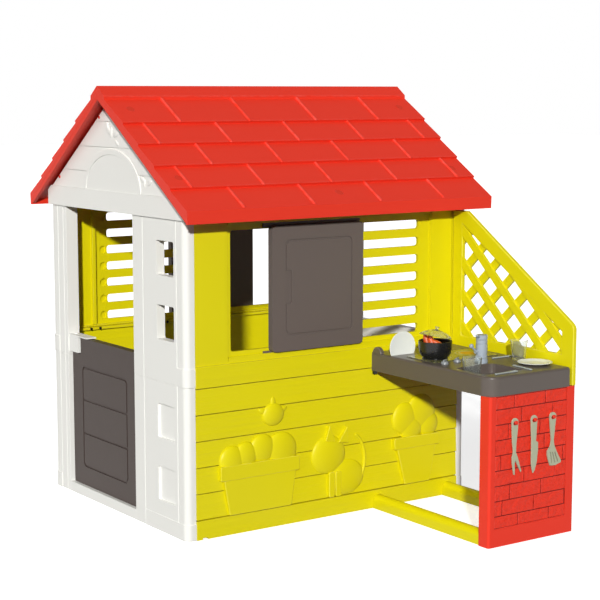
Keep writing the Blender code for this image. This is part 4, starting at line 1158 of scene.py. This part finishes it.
@dataclass
class BrickPanel:
    """The kitchen's leg: a red panel with courses of rough brick."""

    starts: tuple[float, ...] = (0.030, 0.089, 0.062, 0.011, 0.097, 0.052, 0.070, 0.021, 0.050)
    first_joint: float = 0.0865
    pitch: float = 0.0430
    left: float = 0.669
    right: float = 0.938
    plinth: float = 0.0525
    top: float = 0.4235
    face: float = -0.532
    recess: float = 0.003
    brick: float = 0.118
    joint: float = 0.0032
    roughness: float = 0.0015

    def brick_block(self, low: Pair, high: Pair) -> Shape:
        """One brick: a bevelled slab with a hewn face."""
        half_joint = self.joint / 2
        inset = Vector((half_joint, half_joint))
        (left, foot), (right, top) = Vector(low) + inset, Vector(high) - inset
        outline = [(left, foot), (right, foot), (right, top), (left, top)]
        bm = prism(outline, Plane.FRONT, self.face + 0.0006, self.face + self.recess + 0.001)
        soften(bm, 0.0007, 2)
        front = [face for face in bm.faces if face.normal.y < -0.9]
        edges = list({edge for face in front for edge in face.edges})
        bmesh.ops.subdivide_edges(bm, edges=edges, cuts=9, use_grid_fill=True)
        for vert in bm.verts:
            if vert.co.y < self.face + self.recess * 0.6:
                cell = Vector((vert.co.x * 95, 0.0, vert.co.z * 130))
                vert.co.y += self.roughness * (noise.noise(cell) + 0.5 * noise.noise(cell * 2.7))
        return bm

    def build(self) -> None:
        """Makes the panel, its bricks, and a dark sheet of painted shade in the joints."""
        moulding("brick_end_panel", RED, 0.0016, segments=3)
        bricks = []
        for course, back in enumerate(self.starts):
            low = self.plinth if course == 0 else self.first_joint + (course - 1) * self.pitch
            high = min(self.first_joint + course * self.pitch, self.top)
            start = self.left - back
            while start < self.right - 0.002:
                edges = (max(start, self.left), min(start + self.brick, self.right))
                if edges[1] - edges[0] > 0.006:
                    bricks.append(self.brick_block((edges[0], low), (edges[1], high)))
                start += self.brick
        piece("brick_courses", joined(bricks), RED_STONE, smooth=60)
        # Painted shade: a dark red sheet at the recess floor darkens the joints, where shade falls; the
        # plastic there is the same red as the bricks.
        low = (self.left, self.face + self.recess - 0.0006, self.plinth)
        piece("brick_joint_shade", box(low, (self.right, self.face + self.recess + 0.001, self.top)), RED_JOINT_SHADE)


@dataclass
class Lattice:
    """The trellis side panel: crossing slats in a bevelled frame."""

    start: float = 0.957
    end: float = 0.971
    outer: float = -0.532
    wall: float = -0.0043
    post: float = 0.048
    top: float = 0.893
    shoulder: float = 0.068
    outer_top: float = 0.6058
    foot: float = 0.425
    sill: float = 0.510
    rail: float = 0.053
    pitch: Pair = (0.1086, 0.0985)
    centre: Pair = (-0.2245, 0.6245)
    openness: float = 0.62
    tuck: float = 0.010
    lap: float = 0.42

    @property
    def slant(self) -> float:
        """Rise of the sloping rail per metre of Y."""
        return (self.outer_top - self.top) / (self.outer + 0.0145 + self.shoulder)

    @property
    def inner(self) -> list[Pair]:
        """Inner outline of the frame."""
        left, right = self.outer + self.post, -self.post
        rail_foot = self.top + self.slant * (self.shoulder - self.post) - self.rail
        return [
            (left, self.sill),
            (right, self.sill),
            (right, rail_foot),
            (left, rail_foot + self.slant * (left - right)),
        ]

    def slat(self, line: float, rising: bool) -> Shape:
        """A slat on one line of the trellis, cut off under the frame."""
        pitch_y, pitch_z = self.pitch
        spacing = 1 / math.hypot(1 / pitch_y, 1 / pitch_z)
        half = spacing * (1 - self.openness) / 2
        angle = math.atan2(pitch_z, pitch_y) * (1 if rising else -1)
        depth = self.end - self.start
        low = self.start + (0.0005 if rising else depth * self.lap)
        high = self.end - (depth * self.lap if rising else 0.0005)
        section = rounded((-0.6, -half), (0.6, half), 0.001, 1)
        bar = soften(prism(section, Plane.SIDE, low, high), 0.0018, 2)
        turn = Matrix.Rotation(angle, 4, "X")
        middle = Vector((0, self.centre[0] + line * pitch_y, self.centre[1]))
        moved(bar, Matrix.Translation(middle) @ turn)
        corners = self.inner
        for (ay, az), (by, bz) in zip(corners, corners[1:] + corners[:1]):
            out = Vector((0, bz - az, ay - by)).normalized()
            sliced(bar, Vector((0, ay, az)) + out * self.tuck, out)
        return bar

    def build(self) -> None:
        """Makes the frame and the slats."""
        outline = [
            (self.outer, self.foot),
            (self.wall, self.foot),
            (self.wall, self.top),
            (-self.shoulder, self.top),
            (self.outer + 0.0145, self.outer_top),
            (self.outer + 0.004, self.outer_top - 0.009),
            (self.outer, self.outer_top - 0.018),
        ]
        border = carved(
            prism(outline, Plane.SIDE, self.start, self.end),
            [prism(self.inner, Plane.SIDE, self.start - 0.01, self.end + 0.01)],
        )
        piece("lattice_frame", soften(border, 0.0030, 3), YELLOW, replaces=["lattice_panel"])
        slats = [self.slat(step + 0.5, rising) for rising in (True, False) for step in range(-6, 6)]
        slats = [slat for slat in slats if len(slat.faces) > 4]
        piece("lattice_slats", joined(slats), YELLOW)


@dataclass
class Worktop:
    """The worktop with its wall ear, hob, knobs and tap."""

    top: float = 0.480
    tap: Pair = (0.789, -0.333)
    tap_girth: float = 1.16
    knobs: tuple[tuple[str, Pair], ...] = (("left", (0.690, -0.288)), ("right", (0.742, -0.282)))

    def ear(self) -> Shape:
        """The rounded ear that holds the worktop against the wall."""
        arc = ellipse_arc((-0.026, 0.478), (0.021, 0.020), 0, 180, 10)
        outline = [(-0.0048, 0.426), *arc, (-0.047, 0.426)]
        return soften(prism(outline, Plane.SIDE, 0.6455, 0.6600), 0.0030, 3)

    def knob(self, side: str, place: Pair) -> None:
        """A hob knob: a ribbed skirt under a grip bar."""
        node = f"hob_knob_{side}"
        skirt = lathe([
            (0, 0.0075), (0.0088, 0.0075), (0.0098, 0.0066), (0.0113, 0.0006), (0.0113, 0), (0, 0),
        ])
        bar = rounded((-0.0090, -0.0026), (0.0090, 0.0026), 0.0024)
        grip = soften(prism(bar, Plane.PLAN, 0.004, 0.0126), 0.0009)
        mark = box((-0.0005, -0.0006, 0.0120), (0.0085, 0.0006, 0.0129))
        at = Half.FRONT.place @ Matrix.Translation((*place, self.top + CLEARANCE))
        shape = moved(joined([skirt, grip, mark]), at @ Matrix.Rotation(math.radians(25), 4, "Z"))
        stand_in(node, shape, PALE_GREY, node, None)

    def tap_pieces(self) -> None:
        """The tap: ringed body, cap with its beak, and the ball lever."""
        x, y = self.tap
        foot = self.top + CLEARANCE
        body = lathe([
            (0, 0.0680), (0.0128, 0.0680), (0.0140, 0.0668), (0.0140, 0.0580), (0.0132, 0.0572),
            (0.0132, 0.0556), (0.0145, 0.0546), (0.0145, 0.0260), (0.0136, 0.0246), (0.0136, 0.0228),
            (0.0147, 0.0216), (0.0147, 0.0160), (0.0136, 0.0150), (0.0136, 0.0134), (0.0159, 0.0122),
            (0.0159, 0.0012), (0.0152, 0.0), (0, 0),
        ])
        wider = Matrix.Diagonal((self.tap_girth, self.tap_girth, 1.0, 1.0))
        moved(body, Half.FRONT.place @ Matrix.Translation((x, y, foot)) @ wider)
        stand_in("tap_body", body, TAP_GREY, HOUSE, None)
        low = foot + 0.0683
        cap = lathe([
            (0, 0.0140), (0.0126, 0.0140), (0.0144, 0.0124), (0.0144, 0.0010), (0.0134, 0.0), (0, 0),
        ])
        moved(cap, Matrix.Translation((x, y, low)) @ wider)
        end = (x - 0.026, y - 0.008, low + 0.0135)
        beak = rod((x - 0.008, y - 0.002, low + 0.007), end, 0.0056, 0.0036)
        tip = blob((x - 0.0262, y - 0.0081, low + 0.0135), (0.0037, 0.0037, 0.0037))
        stand_in("tap_spout", joined([cap, beak, tip]), TAP_GREY, "tap_spout")
        moulding("tap_lever", TAP_GREY, 0.0006, "tap_lever")

    def build(self) -> None:
        """Makes the worktop and all that is fixed on it."""
        corner = box((0.640, -0.060, self.top + 0.0005), (0.665, 0.010, self.top + 0.03))
        moulding("worktop", TOP_TAUPE, 0.0022, HOUSE, 3, [corner])
        piece("worktop_ear", self.ear(), TOP_TAUPE)
        moulding("worktop_wall_clip", BLACK, 0.0015)
        moulding("hob_plate", HOB_FILM, 0.0005)
        for side, place in self.knobs:
            self.knob(side, place)
        self.tap_pieces()
        for side in ("left", "right"):
            moulding(f"base_rail_{side}", YELLOW, 0.0012)


@dataclass
class Tableware:
    """Plates, pot, cups, cutlery and hanging utensils."""

    top: float = 0.480
    plate: Triple = (0.697, -0.085, 0.501)
    dinner: Pair = (0.901, -0.436)
    pot_place: Pair = (0.725, -0.203)
    pot_foot: float = 0.4823
    tumbler: Pair = (0.912, -0.357)
    beaker: Pair = (0.702, -0.392)
    basin_floor: float = 0.4523
    lid_tilt: float = 12.0
    lid_radius: float = 0.048
    cup_wall: float = 0.0016
    flutes: int = 8
    flute_depth: float = 0.035
    fluted: Pair = (0.08, 0.75)

    @staticmethod
    def plate_profile(radius: float, height: float) -> list[Pair]:
        """Half section of a shallow plate with a rolled rim."""
        return [
            (0, 0.0028), (radius * 0.58, 0.0028), (radius * 0.66, 0.0034),
            (radius * 0.93, height - 0.0002), (radius * 0.98, height), (radius, height - 0.0009),
            (radius * 0.97, height - 0.0018), (radius * 0.68, 0.0006), (radius * 0.62, 0.0), (0, 0),
        ]

    def plates(self) -> None:
        """The plate that stands at the wall and the one laid at the end."""
        upright = Matrix.Translation(self.plate) @ Matrix.Rotation(math.radians(90), 4, "X")
        shape = lathe([
            (0, 0.0004), (0.030, 0.0004), (0.033, 0.0010), (0.0450, 0.0018), (0.0472, 0.0019),
            (0.0480, 0.0010), (0.0474, -0.0002), (0.0350, -0.0016), (0.0320, -0.0019), (0, -0.0019),
        ], 96)
        stand_in("standing_plate", moved(shape, upright), PORCELAIN, "standing_plate")
        laid = Matrix.Translation((*self.dinner, self.top + CLEARANCE))
        flat = moved(lathe(self.plate_profile(0.0505, 0.0074), 96), laid)
        stand_in("dinner_plate", flat, PORCELAIN, "dinner_plate")

    def cooking(self) -> None:
        """The pot, the food that it cooks and its lid."""
        x, y = self.pot_place
        at = Matrix.Translation((x, y, self.pot_foot))
        pot = lathe([
            (0, 0.0042), (0.030, 0.0042), (0.0390, 0.0120), (0.0435, 0.0260), (0.0458, 0.0470),
            (0.0462, 0.0505), (0.0474, 0.0518), (0.0492, 0.0518), (0.0500, 0.0508), (0.0496, 0.0480),
            (0.0484, 0.0300), (0.0452, 0.0150), (0.0405, 0.0070), (0.0372, 0.0046), (0.0360, 0.0034),
            (0.0376, 0.0020), (0.0376, 0.0006), (0.0368, 0.0), (0, 0),
        ], 96)
        stand_in("cooking_pot", moved(pot, at), BLACK, "cooking_pot")
        heap = lathe([(0, 0.034), (0.020, 0.033), (0.034, 0.028), (0.036, 0.010), (0, 0.010)])
        food = [moved(heap, at)]
        for dx, dy, dz, lean, turn, size in (
            (-0.020, 0.014, 0.052, 18, 120, 0.026), (-0.008, 0.008, 0.054, 24, 100, 0.026),
            (0.008, -0.004, 0.046, 58, 150, 0.024), (-0.012, -0.012, 0.042, 80, 30, 0.024),
            (0.016, 0.014, 0.040, 84, 70, 0.022),
        ):
            way = Matrix.Rotation(math.radians(turn), 4, "Z") @ Matrix.Rotation(math.radians(lean), 4, "Y")
            food.append(moved(blob((dx, dy, dz - 0.006), (0.0092, 0.0092, size), way), at))
        piece("pot_food_sausages", joined(food), FOOD, "cooking_pot", replaces=["pot_food"])
        self.lid()

    def lid(self) -> None:
        """The clear lid with its knob and rolled rim, leaning on the pot."""
        tilt, radius = math.radians(self.lid_tilt), self.lid_radius
        x, y = self.pot_place
        lift = self.pot_foot + 0.052 + math.sin(tilt) * radius + 0.0012
        way = Matrix.Translation((x + 0.001, y, lift)) @ Matrix.Rotation(tilt, 4, "Y")
        dome = lathe([
            (0, 0.0300), (0.0046, 0.0296), (0.0062, 0.0280), (0.0056, 0.0255), (0.0036, 0.0235),
            (0.0040, 0.0215), (0.0150, 0.0192), (0.0260, 0.0155), (0.0360, 0.0110), (0.0435, 0.0060),
            (0.0470, 0.0030), (0.0479, 0.0018), (0.0478, 0.0004), (0.0464, 0.0002), (0.0452, 0.0022),
            (0.0345, 0.0090), (0.0250, 0.0137), (0.0140, 0.0172), (0, 0.0185),
        ], 72)
        stand_in("pot_lid", moved(dome, way), CLEAR, "pot_lid")

    def cup(self, node: str, place: Pair, radii: Pair, height: float, lift: float) -> None:
        """A clear cup with eight shallow flutes and a thick foot."""
        base, rim = radii
        wall = self.cup_wall
        low, high = self.fluted
        outer = [(rim + (base - rim) * step / 6, height * (1 - step / 6)) for step in range(7)]
        profile = [(0, 0.005), (base - wall - 0.001, 0.005), (base - wall, 0.007), (rim - wall, height)]
        profile += [*outer[:-1], (base, 0.0006), (base - 0.001, 0.0), (0, 0)]
        bm = lathe(profile, 64)
        for vert in bm.verts:
            share = vert.co.z / height
            if low < share < high:
                angle = math.atan2(vert.co.y, vert.co.x)
                swell = math.sin(math.pi * (share - low) / (high - low))
                flute = 1 - self.flute_depth * swell * (0.5 + 0.5 * math.cos(self.flutes * angle))
                vert.co.x *= flute
                vert.co.y *= flute
        moved(bm, Matrix.Translation((*place, lift + CLEARANCE)))
        stand_in(node, bm, CLEAR, node)

    def build(self) -> None:
        """Makes all the loose things."""
        self.plates()
        self.cooking()
        self.cup("tumbler", self.tumbler, (0.019, 0.0255), 0.058, self.top)
        self.cup("beaker", self.beaker, (0.024, 0.028), 0.060, self.basin_floor - CLEARANCE)
        for node in ("table_fork", "table_knife", "table_spoon"):
            moulding(node, CUTLERY_GREY, 0.0011, node, 3)
        for node in ("serving_fork", "kitchen_knife", "slotted_spatula"):
            moulding(node, SAGE, 0.0013, node, 3)


# The studio


@dataclass
class Studio:
    """Camera, lights and floor."""

    camera_place: Triple = (-2.7130, -3.8824, 1.2532)
    azimuth: float = -34.94
    elevation: float = 7.51
    lens: float = 94.84
    suns: tuple[tuple[str, Triple, float, float], ...] = (
        ("key", (-0.72, -1.0, 0.43), 3.42, 2.5),
        ("side", (-1.0, -0.03, 0.40), 1.00, 60.0),
        ("back", (0.90, 0.90, 0.62), 0.80, 70.0),
    )
    fill_above: float = 0.12
    fill_below: float = 0.02
    floor_glow: float = 0.60
    fill_band: Pair = (-0.15, 0.35)

    def camera(self) -> None:
        """Places the camera and makes it the scene's."""
        data = bpy.data.cameras.new("camera")
        data.lens = self.lens
        data.sensor_width = 36.0
        data.clip_end = 60.0
        obj = bpy.data.objects.new("camera", data)
        a, e = math.radians(self.azimuth), math.radians(self.elevation)
        back = Vector((math.sin(a) * math.cos(e), -math.cos(a) * math.cos(e), math.sin(e)))
        obj.location = self.camera_place
        obj.rotation_euler = back.to_track_quat("Z", "Y").to_euler()
        bpy.context.scene.collection.objects.link(obj)
        bpy.context.scene.camera = obj

    @staticmethod
    def sun(name: str, towards_light: Triple, power: float, angle: float) -> None:
        """Adds a distant light of an apparent width in degrees."""
        data = bpy.data.lights.new(name, "SUN")
        data.energy = power
        data.angle = math.radians(angle)
        data.color = (1.0, 0.99, 0.97)
        obj = bpy.data.objects.new(name, data)
        obj.rotation_euler = Vector(towards_light).to_track_quat("Z", "Y").to_euler()
        obj.visible_glossy = name == "key"
        bpy.context.scene.collection.objects.link(obj)

    def lights(self) -> None:
        """A key light, broad soft lights from the door's side and from behind, and a pale surround."""
        for name, towards_light, power, angle in self.suns:
            self.sun(name, towards_light, power, angle)
        world = bpy.data.worlds.new("surround")
        bpy.context.scene.world = world
        sky = NodeTree(world)
        way = sky.node("ShaderNodeTexCoord", {}, {}).outputs["Generated"]
        height = sky.node("ShaderNodeSeparateXYZ", {}, {0: way}).outputs["Z"]
        levels = {"Value": height, "From Min": self.fill_band[0], "From Max": self.fill_band[1]}
        levels |= {"To Min": self.fill_below, "To Max": self.fill_above}
        strength = sky.node("ShaderNodeMapRange", {}, levels).outputs["Result"]
        around = sky.node("ShaderNodeBackground", {}, {"Color": (0.97, 0.985, 1, 1), "Strength": strength})
        seen = sky.node("ShaderNodeBackground", {}, {"Color": (1, 1, 1, 1)})
        direct = sky.node("ShaderNodeLightPath", {}, {}).outputs["Is Camera Ray"]
        mixed = sky.node("ShaderNodeMixShader", {}, {0: direct, 1: around.outputs[0], 2: seen.outputs[0]})
        sky.node("ShaderNodeOutputWorld", {}, {"Surface": mixed.outputs[0]})

    def floor(self) -> None:
        """A plain pale floor."""
        bm = bmesh.new()
        bmesh.ops.create_grid(bm, x_segments=1, y_segments=1, size=30.0)
        mesh = bpy.data.meshes.new("floor")
        bm.to_mesh(mesh)
        bm.free()
        shader = Shader("floor_finish")
        tone = shader.noise(0.8).above(0.3, 0.7)
        mesh.materials.append(
            shader.surface(
                Base_Color=shader.mix(tone, (0.93, 0.93, 0.93, 1), (0.95, 0.95, 0.95, 1)),
                Roughness=0.85,
                Specular_IOR_Level=0.0,
                Emission_Color=(1.0, 1.0, 1.0, 1.0),
                Emission_Strength=self.floor_glow,
            )
        )
        obj = bpy.data.objects.new("floor", mesh)
        obj.visible_diffuse = False
        bpy.context.scene.collection.objects.link(obj)

    def build(self) -> None:
        """Sets the studio up."""
        bpy.context.scene.view_settings.view_transform = "Standard"
        self.camera()
        self.lights()
        self.floor()


def main() -> None:
    """Builds the house, its kitchen and the studio in order."""
    logging.basicConfig(level=logging.INFO, format="%(name)s %(message)s")
    Studio().build()
    for half in Half:
        slope = RoofSlope(half)
        slope.build()
        LowerWall(half).build()
        UpperWall(half).build()
        Shutter(half).build()
        GableWall(half).build()
        GableTop(half, slope).build()
    HalfDoor().build()
    BrickPanel().build()
    Lattice().build()
    Worktop().build()
    Tableware().build()


if __name__ == "__main__":
    main()
